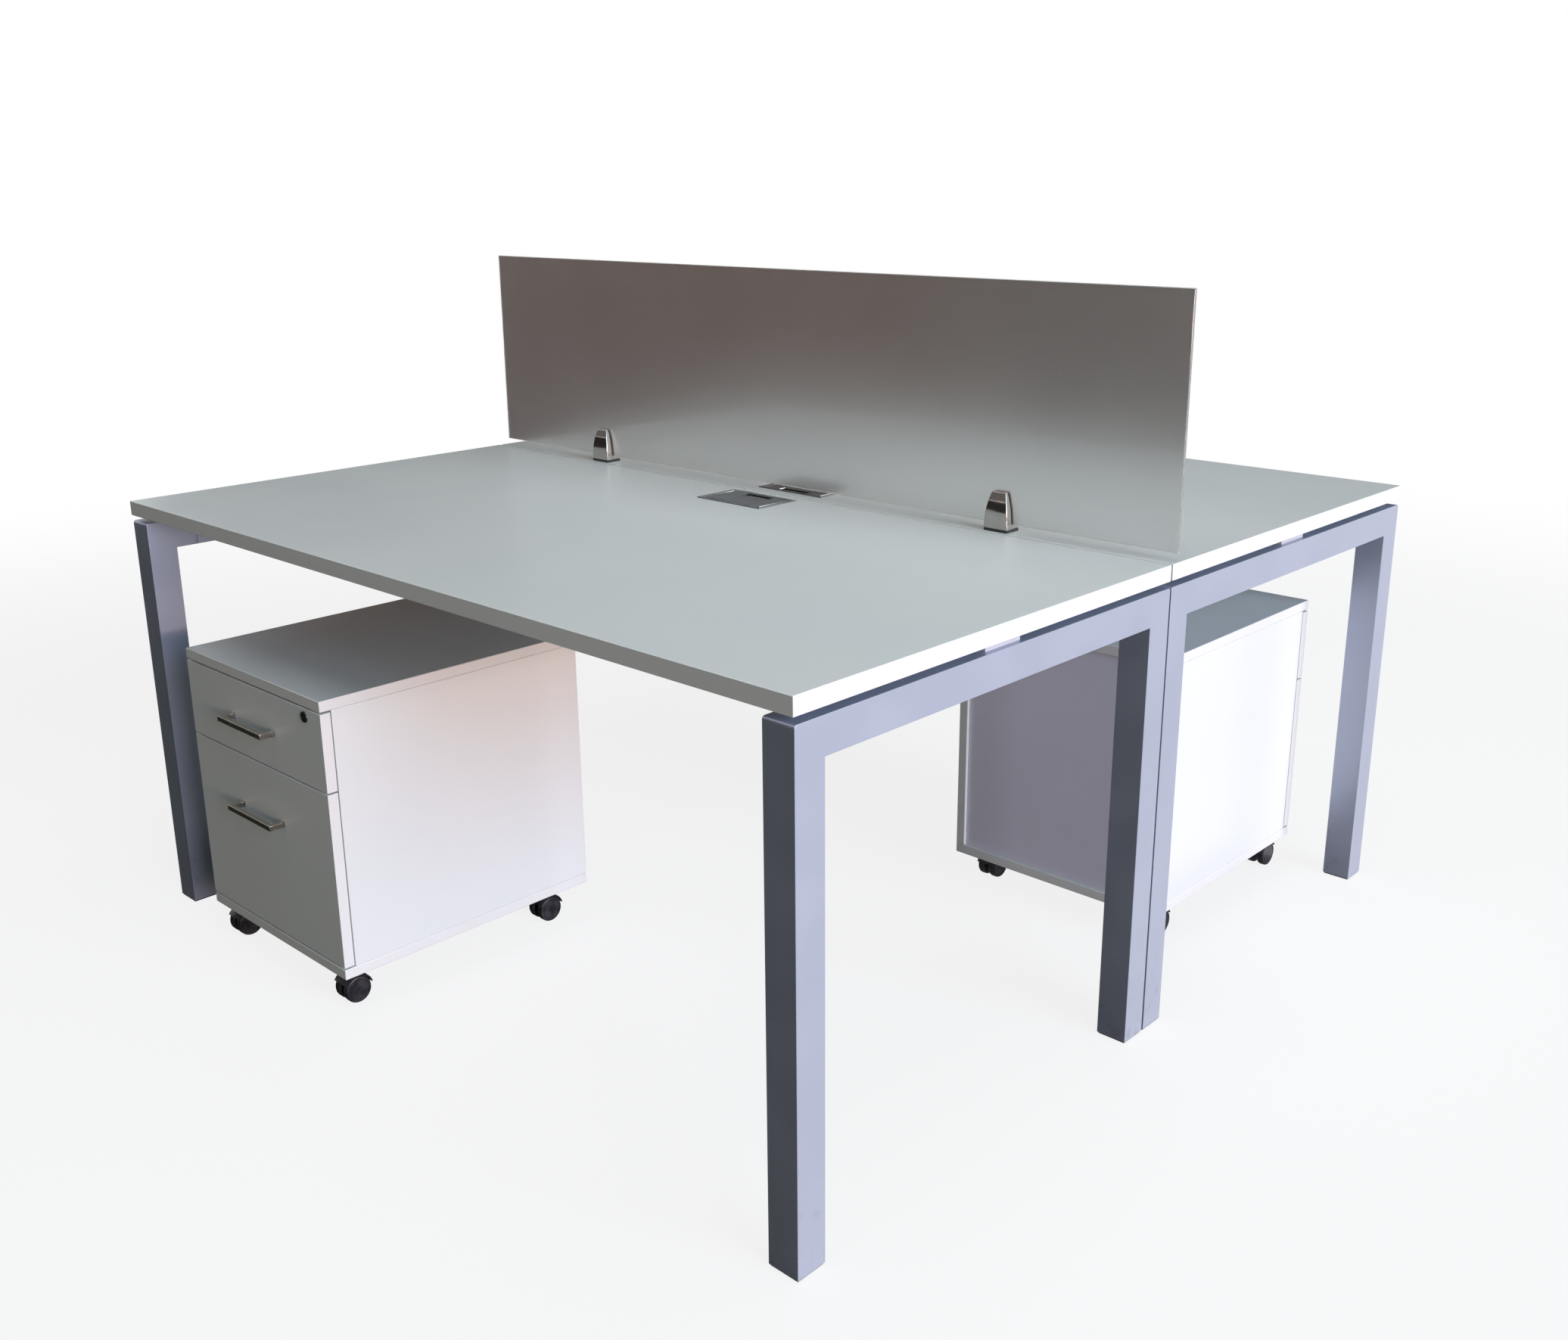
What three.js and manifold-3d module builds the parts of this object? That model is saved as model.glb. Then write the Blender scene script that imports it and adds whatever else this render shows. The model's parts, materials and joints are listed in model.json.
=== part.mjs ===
// A back-to-back bench for two: two desks on goal-post end frames, a frosted screen along the
// joint, a cable flap in each desktop and a mobile pedestal under each desk.
// Millimetres, +Z up. X runs along the desks and the front user sits on the -Y side.
import * as THREE from 'three';
import { mergeVertices } from 'three/addons/utils/BufferGeometryUtils.js';
import Module from 'manifold-3d';

const wasm = await Module();
wasm.setup();

// Gap left wherever two separate pieces touch
const seam = 0.2;

// Desktops
const deskLength = 1600;
const deskDepth = 800; // joint plane to the user's edge
const deskHeight = 760;
const topThickness = 25;
const topJointGap = 3; // between the two desktops

// End frames of square tube
const tubeSize = 50;
const tubeWall = 2;
const tubeEdgeRadius = 3;
const frameOuterCorner = 4;
const frameInnerCorner = 1;
const shadowGap = 9.5; // rail to desktop
const frameSetback = 2; // legs behind the user's edge
const frameJointGap = 2; // between the two desks' frames
const footThickness = 3;
const footInset = 1.5;
const footPlugHeight = 15;
const railSpacerLength = 75;
const railSpacerInset = 9; // spacer behind both faces of the rail

// Beams along each desk, between its end frames
const beamHeight = 40;
const beamDepth = 25;
const beamWall = 1.5;
const outerBeamInset = 115; // user's edge to the outer beam
const beamFlapGap = 30; // cable flap to the inner beam
const beamSpacerLength = 60;
const beamSpacerEndGap = 380; // end frame to a beam's spacer
const beamPlateDepth = 75; // end plates against the rails
const beamPlateThickness = 4;
const beamPlateMargin = 1; // plate inside the rail's upper and lower faces
const beamBoltHole = 9;
const beamBoltMargin = 10; // bolt's middle to the plate's end

// Screen and its two clamps
const screenLength = 1592;
const screenHeight = 376;
const screenThickness = 6;
const screenLift = 12; // desktop to the screen's lower edge
const screenSetback = 22; // joint plane to the screen's middle
const clampSpacing = 962;
const clampWidth = 45;
const clampTopWidth = 27;
const clampDepth = 33;
const clampTopDepth = 21;
const clampHeight = 63;
const clampPad = 0.4; // pad between jaw and screen

// Cable flaps
const flapWidth = 152;
const flapDepth = 92;
const flapSetback = 24; // joint plane to the flap
const frontFlapOffset = 3; // towards +X
const rearFlapOffset = 17;
const flapProud = 1.5;
const flapRim = 8.5;
const flapRimOverlap = 6; // rim resting on the desktop
const flapFitGap = 0.5; // throat to cut-out
const flapThroatDepth = 28;
const flapLedge = 3;
const lidThickness = 3;
const lidGap = 0.3;
const lidNotchWidth = 70;
const lidNotchDepth = 14;
const lidPinRadius = 0.8;
const lidPinLength = 2;
const lidPinPlay = 0.2;

// Pedestals
const pedestalWidth = 430;
const pedestalDepth = 500;
const pedestalHeadroom = 150.5; // pedestal to the beams above it
const boardThickness = 18;
const backInset = 6;
const frontGap = 2; // drawer fronts to the carcass
const frontReveal = 3; // gaps over, between and under the fronts
const upperFrontHeight = 130;
const boxWall = 12;
const boxFloor = 6;
const boxLift = 14; // drawer box over its front's lower edge
const boxRearGap = 20;
const lowerBoxDrop = 40; // lower box under its front's upper edge
const runnerThickness = 12.7;
const runnerHeight = 35;
const runnerLift = 20; // runner over the box's underside
const runnerPlay = 0.4;
const handleLength = 138;
const handleBar = 9;
const handleProjection = 28;
const lowerHandleDrop = 90; // lower front's upper edge to its handle
const lockInset = 48; // from the front's right edge
const lockDrop = 14; // from the upper front's upper edge
const lockBarrelRadius = 8;
const lockFlangeRadius = 9.5;
const lockFlangeThickness = 2;
const lockPlay = 0.3;
const lockBoxGap = 6; // barrel to the drawer box under it
const lockCamCatch = 5; // how far the turned cam reaches into the top panel
const lockCamWidth = 9;
const lockCamThickness = 3;
const keySlotLength = 8;
const keySlotWidth = 2;
const keySlotDepth = 1.2;

// Twin-wheel castors
const wheelDiameter = 46;
const wheelWidth = 14;
const wheelRound = 2.5;
const wheelDish = 1.5;
const wheelHubRadius = 14;
const axleRadius = 3.5;
const axlePlay = 0.2;
const webThickness = 8;
const webGap = 1; // web to wheel
const webEyeRadius = 9;
const hoodGap = 1.5;
const hoodWall = 2.5;
const hoodStart = 15; // degrees round the axle, from the swivel's side
const hoodEnd = 150;
const bossRadius = 11;
const bossHeight = 7;
const collarRadius = 18;
const collarThickness = 3;
const stemRadius = 5;
const stemLength = 12;
const stemPlay = 0.3;
const castorTrail = 18;
const castorSideInset = 38;
const castorEndInset = 51;

// Where the pedestals stand
const frontPedestalLegGap = 145; // left leg to the front pedestal
const frontPedestalReach = 22; // drawer fronts past the user's edge
const rearPedestalLegGap = 77; // right leg to the rear pedestal
const rearPedestalSetback = 56; // drawer fronts behind the user's edge

// Heights and places that follow
const topUnderside = deskHeight - topThickness;
const railTop = topUnderside - shadowGap;
const legSpan = deskDepth - frameSetback - frameJointGap / 2;
const beamUnderside = railTop - beamHeight;
const beamBoltReach = beamPlateDepth / 2 - beamBoltMargin; // beam's middle to a bolt
const beamBoltLevel = railTop - tubeSize / 2;
const innerBeamInset = flapSetback + flapDepth + beamFlapGap;
const wheelRadius = wheelDiameter / 2;
const hoodRadius = wheelRadius + hoodGap;
const bossBottom = wheelRadius + hoodRadius;
const collarBottom = bossBottom + hoodWall + bossHeight;
const castorHeight = collarBottom + collarThickness;
const pedestalHeight = beamUnderside - pedestalHeadroom;
const frontReach = deskDepth + frontPedestalReach + handleProjection;
const rearReach = deskDepth;

const finishes = {
  melamine: { color: 0xe6ebea, roughness: 0.45, metalness: 0 },
  framePaint: { color: 0xb6bad6, roughness: 0.4, metalness: 0.3 },
  frostedScreen: { color: 0xa9a49e, roughness: 0.25, metalness: 0, transparent: true, opacity: 0.75 },
  chrome: { color: 0xb8b4b0, roughness: 0.12, metalness: 1 },
  aluminium: { color: 0x8b9095, roughness: 0.35, metalness: 0.9 },
  drawerBox: { color: 0xd9dcda, roughness: 0.55, metalness: 0 },
  brushedSteel: { color: 0x8f8a83, roughness: 0.3, metalness: 1 },
  lockBlack: { color: 0x16161a, roughness: 0.4, metalness: 0.4 },
  castorPlastic: { color: 0x222027, roughness: 0.5, metalness: 0 },
};

// Shapes
const alongX = new THREE.Matrix4().makeBasis(
  new THREE.Vector3(0, 1, 0),
  new THREE.Vector3(0, 0, 1),
  new THREE.Vector3(1, 0, 0),
);
const alongY = new THREE.Matrix4().makeBasis(
  new THREE.Vector3(1, 0, 0),
  new THREE.Vector3(0, 0, 1),
  new THREE.Vector3(0, -1, 0),
);

function block(x0, x1, y0, y1, z0, z1) {
  const geometry = new THREE.BoxGeometry(x1 - x0, y1 - y0, z1 - z0);
  return geometry.translate((x0 + x1) / 2, (y0 + y1) / 2, (z0 + z1) / 2);
}

function centredRectangle(width, depth) {
  return outline([
    [-width / 2, -depth / 2],
    [width / 2, -depth / 2],
    [width / 2, depth / 2],
    [-width / 2, depth / 2],
  ]);
}

function outline(points) {
  return new THREE.Shape(points.map(([x, y]) => new THREE.Vector2(x, y)));
}

function ring(width, depth, holeWidth, holeDepth) {
  const shape = centredRectangle(width, depth);
  shape.holes.push(centredRectangle(holeWidth, holeDepth));
  return shape;
}

function plain(depth, curveSegments = 8) {
  return { depth, curveSegments, bevelEnabled: false };
}

// The shape's own plane is X-Y
function risen(shape, z0, z1) {
  return new THREE.ExtrudeGeometry(shape, plain(z1 - z0)).translate(0, 0, z0);
}

// The shape is drawn in Y-Z
function runAlongX(shape, x0, x1, curveSegments) {
  const geometry = new THREE.ExtrudeGeometry(shape, plain(x1 - x0, curveSegments));
  return geometry.applyMatrix4(alongX).translate(x0, 0, 0);
}

// The shape is drawn in X-Z
function runAlongY(shape, y0, y1, curveSegments) {
  const geometry = new THREE.ExtrudeGeometry(shape, plain(y1 - y0, curveSegments));
  return geometry.applyMatrix4(alongY).translate(0, y1, 0);
}

// Round bars along each axis, from one end to the other
function barX(radius, x0, x1, y, z, sides) {
  const geometry = new THREE.CylinderGeometry(radius, radius, x1 - x0, sides);
  return geometry.rotateZ(-Math.PI / 2).translate((x0 + x1) / 2, y, z);
}

function barY(radius, y0, y1, x, z, sides) {
  const geometry = new THREE.CylinderGeometry(radius, radius, y1 - y0, sides);
  return geometry.translate(x, (y0 + y1) / 2, z);
}

function barZ(radius, z0, z1, x, y, sides) {
  const geometry = new THREE.CylinderGeometry(radius, radius, z1 - z0, sides);
  return geometry.rotateX(Math.PI / 2).translate(x, y, (z0 + z1) / 2);
}

// Joining and cutting
function toSolid(geometry) {
  const bare = geometry.clone();
  bare.deleteAttribute('normal');
  bare.deleteAttribute('uv');
  const welded = mergeVertices(bare, 1e-4);
  const corners = welded.index.array;
  const triangles = [];
  for (let i = 0; i < corners.length; i += 3) {
    const [a, b, c] = corners.slice(i, i + 3);
    if (a !== b && b !== c && c !== a) triangles.push(a, b, c);
  }
  return new wasm.Manifold(
    new wasm.Mesh({
      numProp: 3,
      vertProperties: new Float32Array(welded.attributes.position.array),
      triVerts: new Uint32Array(triangles),
    }),
  );
}

function toGeometry(solid) {
  const mesh = solid.getMesh();
  const geometry = new THREE.BufferGeometry();
  geometry.setAttribute('position', new THREE.BufferAttribute(mesh.vertProperties, 3));
  geometry.setIndex(new THREE.BufferAttribute(mesh.triVerts, 1));
  geometry.computeVertexNormals();
  return geometry;
}

function join(first, ...others) {
  return toGeometry(others.reduce((sum, other) => sum.add(toSolid(other)), toSolid(first)));
}

function cut(first, ...others) {
  return toGeometry(others.reduce((rest, other) => rest.subtract(toSolid(other)), toSolid(first)));
}

function common(first, second) {
  return toGeometry(toSolid(first).intersect(toSolid(second)));
}

function addPiece(parent, name, geometry, finish) {
  const mesh = new THREE.Mesh(geometry, new THREE.MeshStandardMaterial(finish));
  mesh.name = name;
  parent.add(mesh);
  return mesh;
}

// Desktop with its cable cut-out, in the front desk's place
function desktopGeometry(flapX, flapY) {
  const shape = outline([
    [-deskLength / 2, -deskDepth],
    [deskLength / 2, -deskDepth],
    [deskLength / 2, -topJointGap / 2],
    [-deskLength / 2, -topJointGap / 2],
  ]);
  const halfWidth = flapWidth / 2 - flapRimOverlap + flapFitGap;
  const halfDepth = flapDepth / 2 - flapRimOverlap + flapFitGap;
  const hole = outline([
    [flapX - halfWidth, flapY - halfDepth],
    [flapX + halfWidth, flapY - halfDepth],
    [flapX + halfWidth, flapY + halfDepth],
    [flapX - halfWidth, flapY + halfDepth],
  ]);
  shape.holes.push(hole);
  return risen(shape, topUnderside, deskHeight);
}

// Goal-post outline in Y-Z from the front leg's outer face at 0, standing on z = foot
function goalPost(span, foot, top, thickness, outerCorner, innerCorner) {
  const shape = new THREE.Shape();
  shape.moveTo(0, foot);
  shape.lineTo(thickness, foot);
  if (innerCorner > 0) {
    const bend = top - thickness - innerCorner;
    shape.absarc(thickness + innerCorner, bend, innerCorner, Math.PI, Math.PI / 2, true);
    shape.absarc(span - thickness - innerCorner, bend, innerCorner, Math.PI / 2, 0, true);
  } else {
    shape.lineTo(thickness, top - thickness);
    shape.lineTo(span - thickness, top - thickness);
  }
  shape.lineTo(span - thickness, foot);
  shape.lineTo(span, foot);
  if (outerCorner > 0) {
    shape.absarc(span - outerCorner, top - outerCorner, outerCorner, 0, Math.PI / 2);
    shape.absarc(outerCorner, top - outerCorner, outerCorner, Math.PI / 2, Math.PI);
  } else {
    shape.lineTo(span, top);
    shape.lineTo(0, top);
  }
  return shape;
}

// End frame with its outer face at x = 0 and its legs towards -X, front leg's face at y = 0
function endFrameGeometry(beamPlaces) {
  const shellOutline = goalPost(
    legSpan,
    footThickness - tubeEdgeRadius,
    railTop,
    tubeSize,
    frameOuterCorner,
    frameInnerCorner,
  );
  const shell = new THREE.ExtrudeGeometry(shellOutline, {
    depth: tubeSize - 2 * tubeEdgeRadius,
    curveSegments: 3,
    bevelEnabled: true,
    bevelThickness: tubeEdgeRadius,
    bevelSize: tubeEdgeRadius,
    bevelOffset: -tubeEdgeRadius,
    bevelSegments: 2,
  });
  shell.applyMatrix4(alongX).translate(-tubeSize + tubeEdgeRadius, 0, 0);
  const below = block(-2 * tubeSize, tubeSize, -tubeSize, legSpan + tubeSize, -tubeSize, footThickness);
  const hollowOutline = goalPost(
    legSpan - 2 * tubeWall,
    footThickness + footPlugHeight,
    railTop - tubeWall,
    tubeSize - 2 * tubeWall,
    0,
    0,
  );
  const hollow = runAlongX(hollowOutline, -tubeSize + tubeWall, -tubeWall).translate(0, tubeWall, 0);
  const boltHoles = beamPlaces.map((y) =>
    barX(beamBoltHole / 2, -tubeSize - tubeWall, -tubeSize + 2 * tubeWall, y, beamBoltLevel, 10),
  );
  const feet = [0, legSpan - tubeSize].map((y) =>
    block(
      -tubeSize + footInset,
      -footInset,
      y + footInset,
      y + tubeSize - footInset,
      0,
      footThickness + seam,
    ),
  );
  const spacer = block(
    -tubeSize + railSpacerInset,
    -railSpacerInset,
    (legSpan - railSpacerLength) / 2,
    (legSpan + railSpacerLength) / 2,
    railTop - tubeWall / 2,
    topUnderside - seam,
  );
  return join(cut(shell, below, hollow, ...boltHoles), spacer, ...feet);
}

// Beam centred on x = 0 with its front face at y = 0, and a bolted plate on each end
function beamGeometry() {
  const half = deskLength / 2 - tubeSize - seam;
  const tube = block(-half, half, 0, beamDepth, beamUnderside, railTop);
  const plates = [-half, half - beamPlateThickness].map((x) =>
    block(
      x,
      x + beamPlateThickness,
      (beamDepth - beamPlateDepth) / 2,
      (beamDepth + beamPlateDepth) / 2,
      railTop - tubeSize + beamPlateMargin,
      railTop - beamPlateMargin,
    ),
  );
  const boltHoles = [-1, 1].map((side) =>
    barX(
      beamBoltHole / 2,
      -half - tubeSize,
      half + tubeSize,
      beamDepth / 2 + side * beamBoltReach,
      beamBoltLevel,
      10,
    ),
  );
  const bore = block(
    -half - tubeSize,
    half + tubeSize,
    beamWall,
    beamDepth - beamWall,
    beamUnderside + beamWall,
    railTop - beamWall,
  );
  const spacers = [-1, 1].map((side) => {
    const middle = side * (half - beamSpacerEndGap);
    return block(
      middle - beamSpacerLength / 2,
      middle + beamSpacerLength / 2,
      0,
      beamDepth,
      railTop - beamWall / 2,
      topUnderside - seam,
    );
  });
  return join(cut(join(tube, ...plates), bore, ...boltHoles), ...spacers);
}

// Cable flap: frame and lid round the flap's middle, z = 0 on the desktop, hinge on the -Y side
const lidOpeningWidth = flapWidth - 2 * flapRim;
const lidOpeningDepth = flapDepth - 2 * flapRim;
const lidMiddle = flapProud - lidThickness / 2;
const lidHingeY = -lidOpeningDepth / 2 + lidGap + lidThickness / 2;
const ledgeTop = flapProud - lidThickness - lidGap;

function flapFrameGeometry() {
  const throatWidth = flapWidth - 2 * flapRimOverlap;
  const throatDepth = flapDepth - 2 * flapRimOverlap;
  const rim = risen(ring(flapWidth, flapDepth, lidOpeningWidth, lidOpeningDepth), seam, flapProud);
  const collar = risen(
    ring(throatWidth, throatDepth, lidOpeningWidth, lidOpeningDepth),
    ledgeTop - flapLedge,
    flapProud,
  );
  const throat = risen(
    ring(throatWidth, throatDepth, lidOpeningWidth - 2 * flapLedge, lidOpeningDepth - 2 * flapLedge),
    -flapThroatDepth,
    ledgeTop,
  );
  const pinSockets = [-1, 1].map((side) => {
    const wall = (side * lidOpeningWidth) / 2;
    const ends = [wall - side * lidGap, wall + side * (lidPinLength + lidPinPlay)];
    return barX(lidPinRadius + lidPinPlay, Math.min(...ends), Math.max(...ends), lidHingeY, lidMiddle, 8);
  });
  return cut(join(rim, collar, throat), ...pinSockets);
}

function flapLidGeometry() {
  const half = lidThickness / 2;
  const freeEdge = lidOpeningDepth / 2 - lidGap;
  const section = new THREE.Shape();
  section.moveTo(freeEdge, lidMiddle - half);
  section.lineTo(freeEdge, lidMiddle + half);
  section.absarc(lidHingeY, lidMiddle, half, Math.PI / 2, (3 * Math.PI) / 2);
  const reach = lidOpeningWidth / 2 - lidGap;
  const plate = runAlongX(section, -reach, reach, 3);
  const notch = block(
    -lidNotchWidth / 2,
    lidNotchWidth / 2,
    freeEdge - lidNotchDepth,
    freeEdge + lidNotchDepth,
    lidMiddle - lidThickness,
    lidMiddle + lidThickness,
  );
  const pins = barX(
    lidPinRadius,
    -reach - lidPinLength,
    reach + lidPinLength,
    lidHingeY,
    lidMiddle,
    8,
  );
  return join(cut(plate, notch), pins);
}

// One desk in the front desk's place: top, end frames, beams and cable flap
function addDesk(parent, name, flapX, leftName, rightName) {
  const flapY = -flapSetback - flapDepth / 2;
  const legFace = -deskDepth + frameSetback;
  const beamFaces = { outer: -deskDepth + outerBeamInset, inner: -innerBeamInset - beamDepth };
  const boltPlaces = Object.values(beamFaces).flatMap((face) =>
    [-1, 1].map((side) => face + beamDepth / 2 + side * beamBoltReach - legFace),
  );
  addPiece(parent, `desktop_${name}`, desktopGeometry(flapX, flapY), finishes.melamine);
  const right = endFrameGeometry(boltPlaces).translate(deskLength / 2, legFace, 0);
  const turned = boltPlaces.map((place) => legSpan - place);
  const left = endFrameGeometry(turned).rotateZ(Math.PI).translate(-deskLength / 2, legFace + legSpan, 0);
  addPiece(parent, `end_frame_${name}_${rightName}`, right, finishes.framePaint);
  addPiece(parent, `end_frame_${name}_${leftName}`, left, finishes.framePaint);
  for (const [place, face] of Object.entries(beamFaces)) {
    addPiece(parent, `beam_${name}_${place}`, beamGeometry().translate(0, face, 0), finishes.framePaint);
  }
  const flap = new THREE.Group();
  flap.position.set(flapX, flapY, deskHeight);
  addPiece(flap, `flap_${name}_frame`, flapFrameGeometry(), finishes.aluminium);
  addPiece(flap, `flap_${name}_lid`, flapLidGeometry(), finishes.aluminium);
  parent.add(flap);
}

// Screen clamp round x = 0 and the screen's middle plane, standing on z = 0
function clampFace() {
  const shape = new THREE.Shape();
  shape.moveTo(-clampWidth / 2, 0);
  shape.lineTo(clampWidth / 2, 0);
  shape.quadraticCurveTo(clampWidth / 2, clampHeight / 2, clampTopWidth / 2, clampHeight);
  shape.lineTo(-clampTopWidth / 2, clampHeight);
  shape.quadraticCurveTo(-clampWidth / 2, clampHeight / 2, -clampWidth / 2, 0);
  return runAlongY(shape, -clampDepth, clampDepth, 6);
}

const jawFace = screenThickness / 2 + clampPad;
const clampBaseTop = screenLift - seam;

function clampBodyGeometry() {
  const section = new THREE.Shape();
  section.moveTo(-clampDepth / 2, seam);
  section.lineTo(clampDepth / 2, seam);
  section.lineTo(clampDepth / 2, clampBaseTop);
  section.lineTo(-jawFace, clampBaseTop);
  section.lineTo(-jawFace, clampHeight);
  section.lineTo(-clampTopDepth / 2, clampHeight);
  section.quadraticCurveTo(-clampDepth / 2, clampHeight / 2, -clampDepth / 2, seam);
  return common(runAlongX(section, -clampWidth, clampWidth, 6), clampFace());
}

function clampJawGeometry() {
  const section = new THREE.Shape();
  section.moveTo(jawFace, screenLift);
  section.lineTo(clampDepth / 2, screenLift);
  section.quadraticCurveTo(clampDepth / 2, clampHeight / 2, clampTopDepth / 2, clampHeight);
  section.lineTo(jawFace, clampHeight);
  return common(runAlongX(section, -clampWidth, clampWidth, 6), clampFace());
}

function addScreen(parent) {
  const lower = deskHeight + screenLift;
  const panel = block(
    -screenLength / 2,
    screenLength / 2,
    screenSetback - screenThickness / 2,
    screenSetback + screenThickness / 2,
    lower,
    lower + screenHeight,
  );
  addPiece(parent, 'screen', panel, finishes.frostedScreen);
  for (const [side, name] of [[-1, 'left'], [1, 'right']]) {
    const clamp = new THREE.Group();
    clamp.position.set((side * clampSpacing) / 2, screenSetback, deskHeight);
    addPiece(clamp, `clamp_${name}_body`, clampBodyGeometry(), finishes.chrome);
    addPiece(clamp, `clamp_${name}_jaw`, clampJawGeometry(), finishes.chrome);
    parent.add(clamp);
  }
}

// Castor standing on z = 0, swivel axis on the Z axis, axle along X behind it
const wheelInner = webThickness / 2 + webGap;
const wheelOuter = wheelInner + wheelWidth;

function castorHousingGeometry() {
  const radians = THREE.MathUtils.degToRad;
  const hoodShape = new THREE.Shape();
  hoodShape.absarc(-castorTrail, wheelRadius, hoodRadius + hoodWall, radians(hoodStart), radians(hoodEnd));
  hoodShape.absarc(-castorTrail, wheelRadius, hoodRadius, radians(hoodEnd), radians(hoodStart), true);
  const hood = runAlongX(hoodShape, -wheelOuter, wheelOuter, 6);
  const webTop = bossBottom + hoodWall;
  const webShape = new THREE.Shape();
  webShape.absarc(-castorTrail, wheelRadius, webEyeRadius, Math.PI, 2 * Math.PI);
  webShape.lineTo(bossRadius - webGap, webTop);
  webShape.lineTo(-castorTrail, webTop);
  const web = runAlongX(webShape, -webThickness / 2, webThickness / 2, 5);
  const boss = barZ(bossRadius, bossBottom, castorHeight - seam, 0, 0, 12);
  const collar = barZ(collarRadius, collarBottom, castorHeight - seam, 0, 0, 16);
  const stem = barZ(stemRadius, collarBottom, castorHeight + stemLength, 0, 0, 10);
  const axleHole = barX(axleRadius + axlePlay, -webThickness, webThickness, -castorTrail, wheelRadius, 12);
  return cut(join(web, hood, boss, collar, stem), axleHole);
}

function castorWheelsGeometry() {
  const half = [
    [axleRadius, wheelInner],
    [wheelRadius - wheelRound, wheelInner],
    [wheelRadius, wheelInner + wheelRound],
    [wheelRadius, wheelOuter - wheelRound],
    [wheelRadius - wheelRound, wheelOuter],
    [wheelHubRadius, wheelOuter],
    [wheelHubRadius - wheelDish, wheelOuter - wheelDish],
    [0, wheelOuter - wheelDish],
  ];
  const otherHalf = half.map(([radius, x]) => [radius, -x]).reverse();
  const profile = [...otherHalf, ...half].map(([radius, x]) => new THREE.Vector2(radius, x));
  const wheels = new THREE.LatheGeometry(profile, 16);
  return toGeometry(toSolid(wheels.rotateZ(-Math.PI / 2).translate(0, -castorTrail, wheelRadius)));
}

// Pedestal standing on z = 0 round x = y = 0, drawer fronts towards -Y
const halfWidth = pedestalWidth / 2;
const halfDepth = pedestalDepth / 2;
const baseTop = castorHeight + boardThickness;
const lidUnderside = pedestalHeight - boardThickness;
const frontFace = -halfDepth;
const frontBack = frontFace + boardThickness;
const carcassFront = frontBack + frontGap;
const backFace = halfDepth - backInset;
const upperFrontTop = lidUnderside - frontReveal;
const upperFrontBottom = upperFrontTop - upperFrontHeight;
const lowerFrontTop = upperFrontBottom - frontReveal;
const lowerFrontBottom = baseTop + frontReveal;
const lockX = halfWidth - lockInset;
const lockZ = upperFrontTop - lockDrop;
const lockCamLength = lockDrop + frontReveal + lockCamCatch;
const lockCamFront = frontBack + seam;
const lockCamBack = lockCamFront + lockCamThickness;

function castorPlaces() {
  const x = halfWidth - castorSideInset;
  const y = halfDepth - castorEndInset;
  return { front_left: [-x, -y], front_right: [x, -y], rear_left: [-x, y], rear_right: [x, y] };
}

function upperFrontGeometry() {
  const shape = outline([
    [-halfWidth, upperFrontBottom],
    [halfWidth, upperFrontBottom],
    [halfWidth, upperFrontTop],
    [-halfWidth, upperFrontTop],
  ]);
  const hole = new THREE.Path();
  hole.absarc(lockX, lockZ, lockBarrelRadius + lockPlay, 0, 2 * Math.PI);
  shape.holes.push(hole);
  return runAlongY(shape, frontFace, frontBack, 8);
}

function drawerBoxGeometry(bottom, top) {
  const side = halfWidth - boardThickness - runnerThickness;
  const front = frontBack + seam;
  const back = backFace - boardThickness - boxRearGap;
  const outside = block(-side, side, front, back, bottom, top);
  const inside = block(
    -side + boxWall,
    side - boxWall,
    front + boxWall,
    back - boxWall,
    bottom + boxFloor,
    top + boxFloor,
  );
  const runners = [-1, 1].map((hand) => {
    const near = hand * (side - boxWall / 2);
    const far = hand * (side + runnerThickness - runnerPlay);
    return block(
      Math.min(near, far),
      Math.max(near, far),
      front + frontGap,
      back,
      bottom + runnerLift,
      bottom + runnerLift + runnerHeight,
    );
  });
  return join(cut(outside, inside), ...runners);
}

function handleGeometry(middle) {
  const half = handleLength / 2;
  const grip = frontFace - handleProjection;
  const foot = frontFace - seam;
  const shape = outline([
    [-half, grip],
    [half, grip],
    [half, foot],
    [half - handleBar, foot],
    [half - handleBar, grip + handleBar],
    [-half + handleBar, grip + handleBar],
    [-half + handleBar, foot],
    [-half, foot],
  ]);
  return risen(shape, middle - handleBar / 2, middle + handleBar / 2);
}

function lockGeometry() {
  const face = frontFace - lockFlangeThickness;
  const flange = barY(lockFlangeRadius, face, frontFace - seam, lockX, lockZ, 16);
  const barrel = barY(lockBarrelRadius, face + seam, lockCamBack, lockX, lockZ, 16);
  const cam = block(
    lockX - lockCamLength,
    lockX,
    lockCamFront,
    lockCamBack,
    lockZ - lockCamWidth / 2,
    lockZ + lockCamWidth / 2,
  );
  const keySlot = block(
    lockX - keySlotWidth / 2,
    lockX + keySlotWidth / 2,
    face - keySlotDepth,
    face + keySlotDepth,
    lockZ - keySlotLength / 2,
    lockZ + keySlotLength / 2,
  );
  return cut(join(flange, barrel, cam), keySlot);
}

// Top panel with the pocket that the lock's cam swings up into
function topGeometry() {
  const panel = block(-halfWidth, halfWidth, frontFace, halfDepth, lidUnderside + seam, pedestalHeight);
  const sweep = Math.hypot(lockCamLength, lockCamWidth / 2) + lockPlay;
  const rise = lidUnderside - lockZ;
  const pocket = block(
    lockX - Math.sqrt(sweep ** 2 - rise ** 2),
    lockX + lockCamWidth / 2 + lockPlay,
    lockCamFront - lockPlay,
    lockCamBack + lockPlay,
    lidUnderside - seam,
    lockZ + sweep,
  );
  return cut(panel, pocket);
}

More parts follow.
